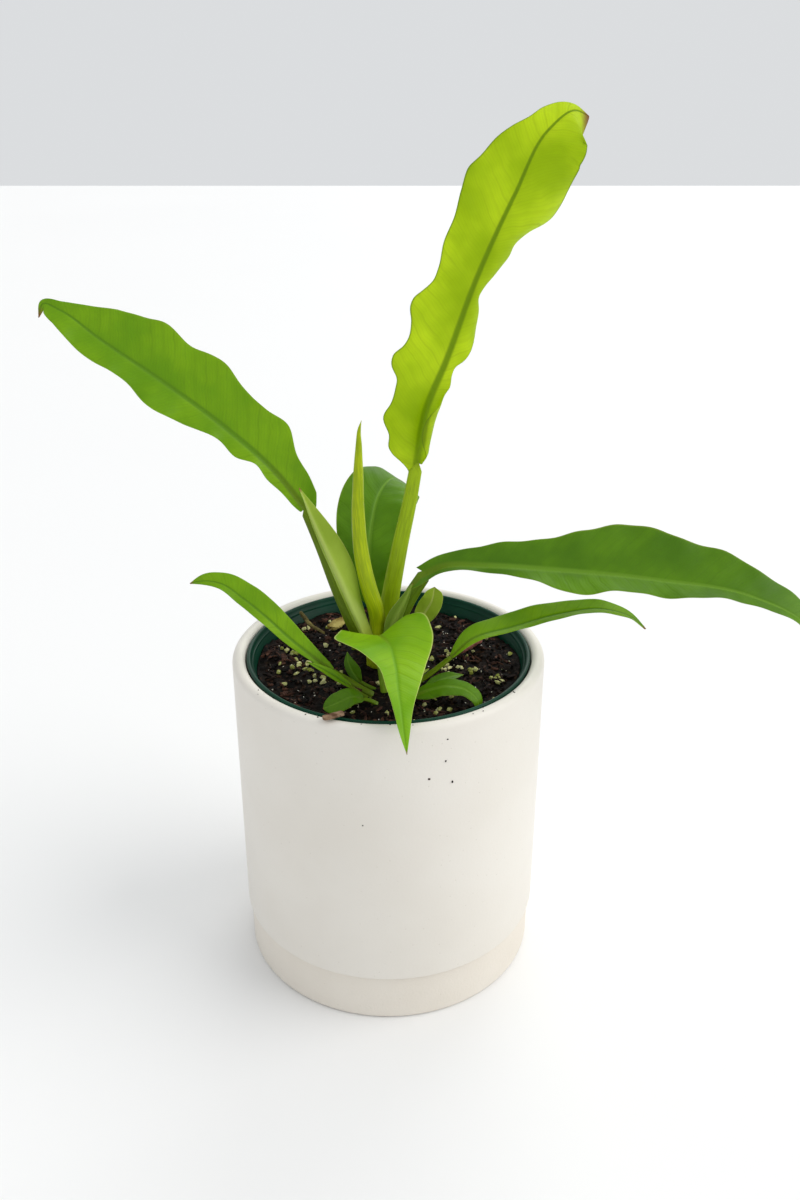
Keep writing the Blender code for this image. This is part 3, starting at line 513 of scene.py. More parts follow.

# %% [markdown]
# ## Finishes for grains, bark and twigs
# The loose bits are dull natural stuff: pale mineral grains with a green film, dark split bark, white
# specks and dry wood. All are two tones in soft patches, and the grains and bark have some spots of a
# third, so one function makes them from their colours.

# %% Finishes for loose bits
def mottled_finish(name, dark, light, scale, roughness, accent=None, accent_share=0.0):
    """A dull natural finish: two tones in patches, and rare spots of an accent colour."""
    made, tree, shader, add = new_material(name)
    coords = add("ShaderNodeTexCoord").outputs["Object"]
    patches = add("ShaderNodeTexNoise", {"Vector": coords, "Scale": scale, "Detail": 4.0}).outputs[0]
    fine = add("ShaderNodeTexNoise", {"Vector": coords, "Scale": scale * 8.0, "Detail": 3.0}).outputs[0]
    colour = blend(add, step_up(add, patches, 0.36, 0.64), dark, light)
    if accent:
        spots = maths(add, "MULTIPLY", step_up(add, fine, 0.58, 0.7), accent_share)
        colour = blend(add, spots, colour, accent)
    tree.links.new(colour, shader.inputs["Base Color"])
    shader.inputs["Roughness"].default_value = roughness
    shader.inputs["Specular IOR Level"].default_value = 0.15
    bumped(add, tree, shader, fine, 0.0004, 0.7)
    return made


grain_finish = mottled_finish("mineral_grain", (0.24, 0.27, 0.04), (0.66, 0.64, 0.30), 120.0, 0.85,
                              (0.75, 0.74, 0.6), 0.6)
bark_finish = mottled_finish("bark_bit", (0.008, 0.003, 0.002), (0.075, 0.030, 0.018), 90.0, 0.8,
                             (0.22, 0.11, 0.07), 0.5)
speck_finish = mottled_finish("white_speck", (0.55, 0.52, 0.38), (0.85, 0.83, 0.74), 200.0, 0.8)
fibre_finish = mottled_finish("root_fibre", (0.05, 0.04, 0.012), (0.20, 0.16, 0.05), 150.0, 0.8)

print("loose finishes:", grain_finish.name, bark_finish.name, speck_finish.name, fibre_finish.name)

# %% [markdown]
# ## Grains, bark bits, specks and crumbs
# Each kind is one piece made of many small closed lumps, scattered with a fixed seed so that the
# result never changes. A lump starts as a small ball of a few points, each pulled in or out, and is
# then stretched to its size. Grains also lie in small groups, as they do after watering.

# %% Scattering lumps
LUMP_RINGS = 4
LUMP_STEPS = 7
LUMP_ROUGHNESS = 0.28     # share by which a point is pulled in or out
MAIN_STEM_CLEAR = 15.0    # no lump lies nearer to a stem than this
SIDE_STEM_CLEAR = 9.0


def add_lump(points, faces, centre, size, draw):
    """Adds an irregular closed lump to a piece; size is its three half lengths."""
    spin = (Matrix.Rotation(draw.uniform(0, 6.28), 3, "Z")
            @ Matrix.Rotation(draw.uniform(-0.5, 0.5), 3, "X"))
    ball = [(0, 0, -1.0)]
    for i in range(1, LUMP_RINGS):
        a = math.pi * i / LUMP_RINGS - math.pi / 2.0
        for k in range(LUMP_STEPS):
            b = 2.0 * math.pi * k / LUMP_STEPS
            pull = 1.0 + draw.uniform(-LUMP_ROUGHNESS, LUMP_ROUGHNESS)
            level = pull * math.cos(a)
            ball.append((level * math.cos(b), level * math.sin(b), pull * math.sin(a)))
    ball.append((0, 0, 1.0))
    start = len(points)
    points += [tuple(spin @ Vector([p * half for p, half in zip(spot, size)]) + Vector(centre))
               for spot in ball]
    rings = [[start + 1 + i * LUMP_STEPS + k for k in range(LUMP_STEPS)]
             for i in range(LUMP_RINGS - 1)]
    low, high, top = rings[0], rings[-1], len(points) - 1
    faces += [(start, low[(k + 1) % LUMP_STEPS], low[k]) for k in range(LUMP_STEPS)]
    for near, far in zip(rings, rings[1:]):
        faces += band(near, far)
    faces += [(high[k], high[(k + 1) % LUMP_STEPS], top) for k in range(LUMP_STEPS)]


def on_soil(draw, edge):
    """A random place on the open soil, away from the stems."""
    while True:
        x, y = draw.uniform(-edge, edge, 2)
        if (math.hypot(x, y) <= edge
                and math.hypot(x - MAIN_STEM_AT[0], y - MAIN_STEM_AT[1]) >= MAIN_STEM_CLEAR
                and math.hypot(x - SIDE_STEM_AT[0], y - SIDE_STEM_AT[1]) >= SIDE_STEM_CLEAR):
            return x, y


def scatter(name, count, seed, finish, sizes, sink, edge=50.0, clusters=()):
    """Many lumps as one piece. sizes gives the half lengths' low and high ends; sink is the
    share of a lump's height in the soil; clusters adds groups as (x, y, spread, count)."""
    draw = np.random.default_rng(seed)
    points, faces = [], []
    places = [on_soil(draw, edge) for _ in range(count)]
    for cx, cy, spread, many in clusters:
        for _ in range(many):
            dx, dy = draw.normal(0.0, spread, 2)
            if math.hypot(cx + dx, cy + dy) < edge:
                places.append((cx + dx, cy + dy))
    for x, y in places:
        size = [draw.uniform(low, high) for low, high in sizes]
        add_lump(points, faces, (x, y, soil_height(x, y) + size[2] * (1.0 - sink)), size, draw)
    make_piece(name, points, faces, [finish], sharp=35.0)
    print(name, "holds", len(places), "lumps")


GRAIN_GROUPS = ((24.0, -2.0, 2.2, 7), (43.0, -14.0, 2.0, 6), (33.0, -10.0, 1.6, 4),
                (-34.0, -6.0, 2.4, 6), (-26.0, -16.0, 2.4, 6), (-40.0, 6.0, 2.0, 4),
                (20.0, -38.0, 2.0, 5), (26.0, 6.0, 1.5, 4))
scatter("mineral_grains", 75, 11, grain_finish, ((0.7, 1.6), (0.6, 1.3), (0.5, 1.0)), 0.3,
        clusters=GRAIN_GROUPS)
scatter("bark_bits", 420, 12, bark_finish, ((0.8, 3.0), (0.4, 1.0), (0.3, 0.7)), 0.5)
scatter("white_specks", 170, 13, speck_finish,
        ((0.15, 0.38), (0.15, 0.35), (0.15, 0.3)), 0.1)
scatter("soil_crumbs", 900, 14, soil_dark, ((0.3, 1.1), (0.3, 0.8), (0.3, 0.7)), 0.3)

# %% [markdown]
# ## Leaves
# A leaf here is one grown piece: a stalk that widens into a thin blade. It could be cut from a flat
# picture, but then it would have no thickness, rib or waves. So each leaf is grown along its rib: at
# every place along it the blade gets a left and a right half of its own width, each half lifted and
# curled, with a raised rib below and a shallow groove above. Two maps go with the mesh: how far
# across and along the blade a point is as a share, and the same in centimetres, so that a finish can
# draw the rib, the side veins and the pale margin where they belong.

# %% Leaf finish
VEIN_SLANT = 0.75         # how far a side vein runs forward for each step outward
MAIN_VEINS = 0.47         # centimetres between strong and between fine side veins
FINE_VEINS = 0.13
TIP_BROWN = (0.30, 0.13, 0.04)


def leaf_finish(name, light, dark, rib, margin, stem_tone, glow, vein_contrast, roughness=0.42):
    """A blade's surface. light and dark are its two tones, rib and margin the lines' colours; a rib
    darker than the blade is painted shade in its groove.
    """
    made, tree, shader, add = new_material(name)
    share_map = add("ShaderNodeUVMap", uv_map="blade_share").outputs[0]
    size_map = add("ShaderNodeUVMap", uv_map="blade_cm").outputs[0]
    share = add("ShaderNodeSeparateXYZ", {0: share_map})
    size = add("ShaderNodeSeparateXYZ", {0: size_map})
    rib_map = add("ShaderNodeUVMap", uv_map="rib_near").outputs[0]
    rib_near = add("ShaderNodeSeparateXYZ", {0: rib_map}).outputs[0]
    coords = add("ShaderNodeTexCoord").outputs["Object"]
    clouds = add("ShaderNodeTexNoise", {"Vector": coords, "Scale": 45.0, "Detail": 3.0}).outputs[0]
    fine = add("ShaderNodeTexNoise", {"Vector": coords, "Scale": 700.0, "Detail": 3.0}).outputs[0]
    across = maths(add, "ABSOLUTE", size.outputs[0])
    shifted = maths(add, "SUBTRACT", size.outputs[1], maths(add, "MULTIPLY", across, VEIN_SLANT))
    shifted = maths(add, "ADD", shifted, maths(add, "MULTIPLY", clouds, 1.1))
    main_wave = maths(add, "SINE", maths(add, "MULTIPLY", shifted, 2.0 * math.pi / MAIN_VEINS))
    fine_wave = maths(add, "SINE", maths(add, "MULTIPLY", shifted, 2.0 * math.pi / FINE_VEINS))
    main_line = maths(add, "MULTIPLY", step_up(add, main_wave, 0.70, 1.0),
                      step_up(add, clouds, 0.35, 0.65))
    fine_line = step_up(add, fine_wave, 0.2, 1.0)
    veins = maths(add, "MULTIPLY_ADD", fine_line, 0.35, maths(add, "MULTIPLY", main_line, 0.65))
    colour = blend(add, step_up(add, clouds, 0.30, 0.72), dark, light)
    vein_tone = tuple(0.62 * c for c in dark)
    colour = blend(add, maths(add, "MULTIPLY", veins, vein_contrast), colour, vein_tone)
    # The rib strip takes the rib colour. Where that colour is darker than the blade, as on the young
    # leaf, it is painted shade in the rib's groove; where it is paler, it is the rib's own tone.
    beside_rib = step_up(add, maths(add, "ABSOLUTE", rib_near), 0.30, 0.85)
    rib_mask = maths(add, "SUBTRACT", 1.0, beside_rib)
    rib_tone = blend(add, step_up(add, share.outputs[1], 0.0, 0.25), stem_tone, rib)
    colour = blend(add, maths(add, "MULTIPLY", rib_mask, 0.9), colour, rib_tone)
    edge = step_up(add, maths(add, "ABSOLUTE", share.outputs[0]), 0.955, 0.995)
    colour = blend(add, maths(add, "MULTIPLY", edge, 0.75), colour, margin)
    end = step_up(add, share.outputs[1], 0.965, 0.998)
    colour = blend(add, end, colour, TIP_BROWN)
    tree.links.new(colour, shader.inputs["Base Color"])
    rough = maths(add, "MULTIPLY_ADD", fine, 0.16, roughness - 0.08)
    tree.links.new(rough, shader.inputs["Roughness"])
    shader.inputs["Specular IOR Level"].default_value = 0.22
    height = maths(add, "SUBTRACT", maths(add, "MULTIPLY", fine, 0.25),
                   maths(add, "MULTIPLY", veins, 0.6))
    bumped(add, tree, shader, height, 0.0003, 0.35)
    through = add("ShaderNodeBsdfTranslucent", {"Color": colour})
    mix = add("ShaderNodeMixShader", {0: glow, 1: shader.outputs[0], 2: through.outputs[0]})
    tree.links.new(mix.outputs[0], tree.nodes["Material Output"].inputs["Surface"])
    return made


def stalk_finish(name, light, dark):
    """A stalk's surface: two tones in long streaks along it."""
    made, tree, shader, add = new_material(name)
    size_map = add("ShaderNodeUVMap", uv_map="blade_cm").outputs[0]
    long = add("ShaderNodeMapping", {"Vector": size_map, "Scale": (26.0, 1.1, 1.0)}).outputs[0]
    streaks = add("ShaderNodeTexNoise", {"Vector": long, "Scale": 1.0, "Detail": 4.0}).outputs[0]
    coords = add("ShaderNodeTexCoord").outputs["Object"]
    clouds = add("ShaderNodeTexNoise", {"Vector": coords, "Scale": 60.0, "Detail": 3.0}).outputs[0]
    share = maths(add, "MULTIPLY_ADD", streaks, 0.6, maths(add, "MULTIPLY", clouds, 0.4))
    colour = blend(add, step_up(add, share, 0.38, 0.62), dark, light)
    tree.links.new(colour, shader.inputs["Base Color"])
    shader.inputs["Roughness"].default_value = 0.4
    shader.inputs["Specular IOR Level"].default_value = 0.22
    bumped(add, tree, shader, streaks, 0.0003, 0.4)
    return made


print("strong side veins every", 10 * MAIN_VEINS, "mm, fine ones every", 10 * FINE_VEINS, "mm")

# %% [markdown]
# ## The plant's greens
# The newest leaf is yellow green and lets light through, the older ones are deeper, and the sheaths
# are pale. Each leaf needs three finishes: upper face, milkier lower face, and stalk. One table holds
# the greens and one loop makes the finishes from it.

# %% Leaf greens
LEAF_GREENS = {                       # light, dark, rib, margin of the upper face, and the stalk
    # The young leaf's dark rib colour is painted shade in the groove along its rib.
    "young": ((0.70, 0.86, 0.02), (0.46, 0.64, 0.002), (0.20, 0.33, 0.002), (0.20, 0.33, 0.01),
              (0.33, 0.48, 0.003)),
    "mid": ((0.25, 0.48, 0.004), (0.150, 0.35, 0.002), (0.12, 0.28, 0.005), (0.28, 0.46, 0.02),
            (0.15, 0.24, 0.004)),
    "fresh": ((0.31, 0.58, 0.008), (0.17, 0.42, 0.003), (0.20, 0.45, 0.01), (0.66, 0.72, 0.20),
              (0.22, 0.38, 0.01)),
    "dark": ((0.140, 0.32, 0.004), (0.080, 0.21, 0.002), (0.17, 0.35, 0.02), (0.26, 0.38, 0.03),
             (0.15, 0.26, 0.005)),
    "sheath": ((0.22, 0.36, 0.015), (0.14, 0.26, 0.006), (0.28, 0.40, 0.03), (0.55, 0.62, 0.25),
               (0.20, 0.32, 0.01)),
    "pale": ((0.42, 0.58, 0.05), (0.31, 0.46, 0.02), (0.55, 0.64, 0.14), (0.55, 0.62, 0.16),
             (0.40, 0.50, 0.01)),
}
MILKY_GREEN = (0.48, 0.60, 0.16)


def paler(colour, share):
    """The same green, milkier, for a blade's underside."""
    return tuple(c + (milk - c) * share for c, milk in zip(colour, MILKY_GREEN))


leaf_finishes = {}
for green, (light, dark, rib, margin, stem_tone) in LEAF_GREENS.items():
    glow = 0.5 if green == "young" else 0.25
    is_sheath = green in ("pale", "sheath")
    contrast = 0.0 if is_sheath else 0.22
    milky = 0.12 if is_sheath else 0.35
    top = leaf_finish("leaf_top_" + green, light, dark, rib, margin, stem_tone, glow, contrast)
    # On the pale sheaths the underside's rib strip gets a fixed pale green: a painted highlight along
    # the keel's ridge. The other leaves take a milkier copy of their light tone there, the rib's own
    # colour.
    keel = (0.52, 0.64, 0.15) if green == "pale" else paler(light, 0.3 if is_sheath else 0.6)
    under = leaf_finish("leaf_under_" + green, paler(light, milky), paler(dark, milky), keel,
                        margin, stem_tone, glow, contrast, roughness=0.55)
    stalk = stalk_finish("stalk_" + green, stem_tone, tuple(0.72 * c for c in stem_tone))
    leaf_finishes[green] = [top, under, stalk]
print("leaf greens:", ", ".join(leaf_finishes))

# %% [markdown]
# ## Growing a blade
# A blade is worked out in rows along its rib. In each row a half starts at the rib's middle, rises by
# its fold angle and bends by its curl angle up to the margin. Waves grow toward the margin, because a
# leaf's edge grows faster than its middle, and shallow dents follow the side veins.

# %% Blade
RIB_COLUMNS = 4           # columns over half of the rib
OUTER_COLUMNS = 13        # columns from the rib to the margin
COLUMNS = RIB_COLUMNS + OUTER_COLUMNS
CURL_STEPS = 40
BLADE_HALF = 0.17         # half of the blade's thickness, mm
NARROWEST = 0.12          # least width of a half, mm
DENT_SPACING = 6.0        # between the dents along side veins, mm
DENT_DEPTH = 0.10


def turn_along(value, t):
    """A turn in degrees that is the same all along, or rows of (place, left, right)."""
    if isinstance(value, tuple):
        return np.radians(np.tile(np.array(value, float), (len(t), 1)))
    return np.radians(smooth(value, t))


def blade_half(plan, t, axes, widths, rib_half, hand):
    """Positions of one half's columns, from the rib's middle outward, as rows x columns x 3."""
    points, forward, side, face = axes
    slot = 0 if hand < 0 else 1
    fold = turn_along(plan["fold"], t)[:, slot, None]
    curl = turn_along(plan["curl"], t)[:, slot, None]
    t, wide = t[:, None], widths[:, None]
    rib_share = np.minimum(rib_half / widths, 0.4)[:, None]
    inner = np.linspace(0.0, 1.0, RIB_COLUMNS + 1)
    outer = np.linspace(0.0, 1.0, OUTER_COLUMNS + 1)[1:] ** 0.9
    u = np.concatenate((rib_share * inner, rib_share + (1 - rib_share) * outer), 1)
    grid = (np.arange(CURL_STEPS) + 0.5) / CURL_STEPS
    angle = fold * np.minimum(grid * 6.0, 1.0) + curl * grid
    knots = np.linspace(0.0, 1.0, CURL_STEPS + 1)
    x, z = (np.array([np.interp(row, knots, np.concatenate(([0.0], np.cumsum(steps) / CURL_STEPS)))
                      for row, steps in zip(u, part(angle))]) * wide for part in (np.cos, np.sin))
    wave, count = plan["wave"]
    calm = np.clip(np.minimum(t / 0.12, (1 - t) / 0.15), 0, 1)
    phase = 2 * math.pi * (count * t + (0.35 if hand > 0 else 0.0)) + plan["phase"]
    z = z + calm * wave * u**2.2 * (np.sin(phase) + 0.45 * np.sin(2.3 * phase + 1.0))
    vein = 2 * math.pi * (t * route_length(plan["rib"]) - VEIN_SLANT * u * wide) / DENT_SPACING
    inside = np.clip(4 * u * (1 - u), 0, 1) * np.minimum(wide / 12, 1)
    z = z + calm * DENT_DEPTH * np.sin(vein) * inside
    back = plan["lobes"][slot] * np.clip(1 - t / 0.2, 0, 1) ** 1.5 * u**1.3
    place = (points[:, None] + hand * x[..., None] * side[:, None] + z[..., None] * face[:, None]
             - back[..., None] * forward[:, None])
    return place, hand * u, hand * x


def blade_faces(plan, t):
    """A blade's upper and lower points, the rib's half widths, and each point's place across."""
    axes = axes_along(plan["rib"], plan["facing"], t)
    rib_half = plan["stalk_width"][1] / 2.0 * (1.0 - t) ** 0.7 * 0.8 + 0.25
    opening = np.clip(t / plan["base"], 0, 1) ** 0.5 if plan["base"] else np.ones(len(t))
    halves = []
    for key, hand in (("left", -1), ("right", 1)):
        widths = np.maximum(smooth(plan[key], t)[:, 0], NARROWEST)
        widths = np.minimum(widths, rib_half + opening * np.maximum(widths - rib_half, 0))
        halves.append(blade_half(plan, t, axes, widths, rib_half, hand))
    middle, shares, offsets = (np.concatenate((left[:, :0:-1], right), 1)
                               for left, right in zip(*halves))
    number = np.abs(np.arange(-COLUMNS, COLUMNS + 1))
    ridge = np.sqrt(np.clip(1.0 - (number / RIB_COLUMNS) ** 2, 0, 1))
    groove = np.clip(1.0 - number / RIB_COLUMNS, 0, 1)
    thin = np.where(number == COLUMNS, 0.0, BLADE_HALF)
    up = thin - np.minimum(0.3 * rib_half, 0.35)[:, None] * groove
    down = thin + (0.15 + 0.75 * rib_half)[:, None] * ridge
    face = axes[3][:, None]
    return middle + up[..., None] * face, middle - down[..., None] * face, rib_half, shares, offsets


print("a blade has", 2 * COLUMNS + 1, "points across, and is", 2 * BLADE_HALF, "mm thick")

# %% [markdown]
# ## The stalk
# The stalk is a tube of rings, flatter above than below and with a shallow channel that deepens
# toward the blade. Its lowest rings lie level, so that the foot stands flat on the stem. A ring has as
# many points as the mouth of the blade, so that the last ring joins the blade point to point.

# %% Stalk
RING_HALF = 2 * RIB_COLUMNS + 1       # points over the upper or the lower half of a ring
STALK_ROWS = 26
UPPER, LOWER, STALK = 0, 1, 2         # a leaf's finishes, as face marks


class LeafMesh:
    """A leaf's points, faces and maps while it grows. Maps count in shares and in centimetres."""

    def __init__(self):
        self.points, self.faces, self.marks = [], [], []
        self.maps = {"blade_share": [], "blade_cm": [], "rib_near": []}

    def add_row(self, line, u, v, x, s, rib_at):
        """Adds points with their shares across and along, and places across and along."""
        start = len(self.points)
        self.points.extend(line)
        self.maps["blade_share"].extend(zip(u, v))
        self.maps["blade_cm"].extend(zip(x, s))
        self.maps["rib_near"].extend((value / rib_at, 0.0) for value in x)
        return np.arange(start, start + len(line))

    def add_faces(self, faces, mark):
        """Adds faces that share one finish."""
        self.faces.extend(tuple(int(c) for c in face) for face in faces)
        self.marks.extend([mark] * len(faces))


def grow_stalk(mesh, plan):
    """Adds the stalk to the mesh and gives back its last ring."""
    count = 2 * RING_HALF
    s = np.linspace(0.0, 1.0, STALK_ROWS + 1)[:-1]
    route = [*plan["stalk"], plan["rib"][0]]
    first = plan["facing"] if isinstance(plan["facing"], tuple) else plan["facing"][0][1:]
    centres, _, side, face = axes_along(route, first, s)
    length = route_length(route)
    foot_half, top_half = (width / 2.0 for width in plan["stalk_width"])
    half = foot_half + (top_half - foot_half) * s
    above = np.linspace(math.pi * 0.93, math.pi * 0.07, RING_HALF)
    angles = np.concatenate((above, -above[::-1]))
    height = np.where(np.sin(angles) > 0, 0.55, 0.85) * np.sin(angles)
    channel = 0.22 * np.clip(np.sin(angles), 0, 1) ** 3
    last = None
    for i in range(STALK_ROWS):
        level = max(0.0, 1.0 - i / 3.0)
        flat = np.cross(unit(np.array((side[i][0], side[i][1], 0.0))), (0.0, 0.0, 1.0))
        flat = flat if np.dot(flat, face[i]) > 0 else -flat
        deep = unit(face[i] * (1 - level) + flat * level)
        line = (centres[i] + half[i] * 0.92 * np.cos(angles)[:, None] * side[i]
                + half[i] * (height - channel * s[i])[:, None] * deep)
        turn = np.arange(count) / count * 2 * math.pi * half[i] * 0.1
        ring = mesh.add_row(line, [0.0] * count, [0.5] * count, turn, [s[i] * length * 0.1] * count,
                            half[i] * 0.1)
        mesh.add_faces([ring[::-1]] if last is None else band(last, ring), STALK)
        last = ring
    return last


print("a stalk's ring has", 2 * RING_HALF, "points")

# %% [markdown]
# ## The whole leaf
# `grow_leaf` puts both together. The margin's points belong to both faces, so the blade closes to a
# thin edge. The last row closes in a point at the tip, and a strip closes the blade's base at both
# sides of the mouth, where the stalk runs in.

# %% Leaf
PLAN_DEFAULTS = dict(curl=(0, 0), lobes=(0, 0), phase=0.0, rows=110, base=0.035)


def grow_leaf(name, green, slot, node, **plan):
    """A leaf's closed mesh. Its plan holds the routes of stalk and rib, both in millimetres, where
    the blade faces, the width of each half, its fold and curl in degrees, how far its lobes reach
    back, the stalk's width at foot and top, the waves' height and number, and the opening's share."""
    plan = {**PLAN_DEFAULTS, **plan}
    mesh = LeafMesh()
    last_ring = grow_stalk(mesh, plan)
    even = np.linspace(0.0, 1.0, plan["rows"] + 1)[:-1]
    t = np.concatenate((np.linspace(0.0, 0.05, 12)[:-1], 0.05 + 0.95 * (1.0 - (1.0 - even) ** 1.15)))
    upper, lower, rib_half, shares, offsets = blade_faces(plan, t)
    length = route_length(plan["rib"])
    upper_rows, lower_rows = [], []
    for i, place in enumerate(t):
        u, x, rib_at = shares[i], offsets[i] * 0.1, rib_half[i] * 0.1
        v, s = [place] * len(u), [place * length * 0.1] * len(u)
        top = mesh.add_row(upper[i], u, v, x, s, rib_at)
        low = mesh.add_row(lower[i][1:-1], u[1:-1], v[1:-1], x[1:-1], s[1:-1], rib_at)
        upper_rows.append(top)
        lower_rows.append(np.concatenate(([top[0]], low, [top[-1]])))
    tip = mesh.add_row([plan["rib"][-1]], [0.0], [1.0], [0.0], [length * 0.1], 0.025)[0]
    for rows, mark in ((upper_rows, UPPER), (lower_rows, LOWER)):
        order = -1 if mark == LOWER else 1
        quads = [(near[k], near[k + 1], far[k + 1], far[k])
                 for near, far in zip(rows, rows[1:]) for k in range(len(near) - 1)]
        fans = [(a, b, tip) for a, b in zip(rows[-1], rows[-1][1:])]
        mesh.add_faces([face[::order] for face in quads + fans], mark)
    top, low = upper_rows[0], lower_rows[0]
    first, last = COLUMNS - RIB_COLUMNS, COLUMNS + RIB_COLUMNS
    for k in (*range(first), *range(last, 2 * COLUMNS)):
        corners = (top[k + 1], top[k], low[k], low[k + 1])
        mesh.add_faces([tuple(dict.fromkeys(corners))], LOWER)
    mouth = np.concatenate((top[first:last + 1], low[first:last + 1][::-1]))
    mesh.add_faces(band(last_ring, mouth), STALK)
    make_piece(name, mesh.points, mesh.faces, leaf_finishes[green], node, marks=mesh.marks,
               maps=mesh.maps, sharp=70.0)
    print(name, "has a blade", round(length), "mm long and", len(mesh.points), "points")


print("a leaf's plan starts from", PLAN_DEFAULTS)

# %% [markdown]
# ## The three long leaves
# The tallest leaf stands almost upright on a thick stalk, with the newest, yellowest green and a
# strongly lobed, wavy outline. The other two reach out to the left and to the right. A list gives
# each half its own width along the rib, because the two sides of such a leaf never match.

# %% Long leaves
grow_leaf(
    "tall_leaf", "young", "leaf_young", "leaf_tall_upright",
    stalk=[(-1, 6, 133.3), (-1, 6, 140), (0.5, 7, 153), (4.5, 9, 176), (8.5, 11, 195)],
    rib=[(11, 13, 209), (14, 15, 228), (22, 17, 248), (32, 19, 276), (45, 21, 305), (56, 23, 326),
         (65, 27, 332), (71, 31, 330)],
    facing=[(0, 0.1, -1, 0.1), (0.5, 0, -1, 0.2), (1, 0.15, -1, 0.5)],
    left=[(0, 3), (0.03, 8.5), (0.05, 11.5), (0.08, 12.2), (0.11, 15.2), (0.14, 13.5), (0.17, 13.7),
          (0.19, 14.6), (0.21, 18), (0.235, 19.2), (0.27, 17), (0.3, 16.2), (0.34, 17.2),
          (0.38, 19.4), (0.4, 19), (0.42, 17), (0.45, 14.5), (0.48, 14.3), (0.54, 16), (0.6, 16.1),
          (0.66, 17.8), (0.72, 18.7), (0.76, 16.2), (0.8, 13.8), (0.83, 10.9), (0.86, 7.8),
          (0.89, 6.8), (0.92, 5), (0.95, 2.5), (1, 0)],
    right=[(0, 3), (0.03, 8), (0.07, 12), (0.12, 13), (0.17, 10), (0.2, 6.5), (0.22, 6),
           (0.25, 4.2), (0.27, 4.2), (0.29, 6.3), (0.33, 8.8), (0.37, 9.4), (0.42, 9), (0.45, 6.4),
           (0.48, 7.8), (0.51, 10.7), (0.54, 13), (0.57, 14.7), (0.6, 14), (0.64, 16.7),
           (0.68, 20.6), (0.72, 21.2), (0.76, 19.8), (0.8, 18.4), (0.86, 16.7), (0.89, 15.5),
           (0.92, 13.5), (0.95, 12), (0.98, 7.5), (1, 0)],
    fold=(8, 8), lobes=(4, 0), stalk_width=(9.0, 5.4), wave=(0.8, 6), rows=190,
    curl=[(0, -5, 60), (0.05, -5, 150), (0.12, -5, 165), (0.17, -5, 120), (0.21, -5, 60), (0.26, -5, 0),
          (1, -5, -5)])

grow_leaf(
    "long_leaf_left", "mid", "leaf_mid", "leaf_long_left",
    stalk=[(-12, 4, 133.3), (-12, 4, 139), (-15, 4, 147), (-20, 6, 159), (-26, 8, 176)],
    rib=[(-32, 9, 192), (-42, 11, 205), (-64, 14, 225), (-86, 17, 241), (-107, 20, 255),
         (-121, 22, 265), (-127, 23, 267), (-129, 22, 262)],
    facing=[(0, 0, -1, 0.6), (1, -0.1, -1, 0.7)],
    left=[(0, 3), (0.08, 3.5), (0.14, 4.5), (0.2, 3.5), (0.26, 6.5), (0.32, 5.5), (0.44, 9),
          (0.56, 11), (0.63, 8.5), (0.8, 8.5), (0.9, 6), (0.97, 2), (1, 0)],
    right=[(0, 6), (0.08, 9), (0.14, 10.5), (0.2, 16), (0.28, 15), (0.36, 16), (0.44, 19),
           (0.56, 17), (0.63, 18.5), (0.7, 16), (0.8, 11), (0.88, 5), (0.94, 2), (1, 0)],
    fold=(8, 12), lobes=(0, 3), stalk_width=(6.6, 4.6), wave=(0.7, 6), phase=1.0, rows=150)

grow_leaf(
    "long_leaf_right", "dark", "leaf_dark", "leaf_long_right",
    stalk=[(4, -5, 133.3), (3, -5, 141), (5, -5, 153), (9, -5, 162)],
    rib=[(14, -6, 171), (21, -8, 175), (36, -12, 177), (61, -18, 178), (97, -27, 178),
         (130, -35, 175), (148, -40, 167), (154, -42, 160)],
    facing=[(0, 0, -0.5, 0.85), (1, 0.2, -0.4, 0.85)],
    left=[(0, 4), (0.1, 6.5), (0.25, 11.5), (0.33, 14), (0.4, 17.5), (0.48, 22), (0.56, 21),
          (0.64, 18), (0.72, 16), (0.8, 11), (0.88, 9), (0.95, 4), (1, 0)],
    right=[(0, 5), (0.1, 3.5), (0.18, 3.5), (0.26, 5.5), (0.34, 10), (0.4, 12), (0.48, 9.5),
           (0.64, 8.5), (0.72, 6.5), (0.8, 4.5), (0.95, 2.5), (1, 0)],
    fold=(14, 10), lobes=(3, 6), stalk_width=(7.0, 6.2), wave=(0.6, 5), phase=2.2, rows=150,
    base=0)

# %% [markdown]
# ## The leaf at the back and the drooping leaf in front
# The rear leaf arches away, so its upper face shows between the tall stalks. The front leaf rises
# from the side shoot, folds over and hangs across the rim. Its base has two round lobes that reach
# back past the stalk, as on many leaves of this plant's relatives.

# %% Rear and front leaves
grow_leaf(
    "rear_leaf", "dark", "leaf_dark", "leaf_rear",
    stalk=[(-6, 13, 133.3), (-6, 13, 140)],
    rib=[(-7, 15, 150), (-8, 19, 164), (-7, 27, 178), (-4, 37, 188), (1, 48, 191), (5, 57, 187)],
    facing=[(0, 0, -1, 0.3), (0.5, 0.05, -1, 0.6), (1, 0.1, -0.5, 1)],
    left=[(0, 3), (0.15, 8), (0.35, 13), (0.55, 15), (0.75, 13), (0.9, 7), (1, 0)],
    right=[(0, 3), (0.15, 8), (0.35, 11), (0.55, 14), (0.75, 15.5), (0.9, 11.5), (1, 0)],
    fold=(6, 6), curl=(-8, -8), lobes=(2, 2), stalk_width=(5.0, 3.6), wave=(0.6, 3))

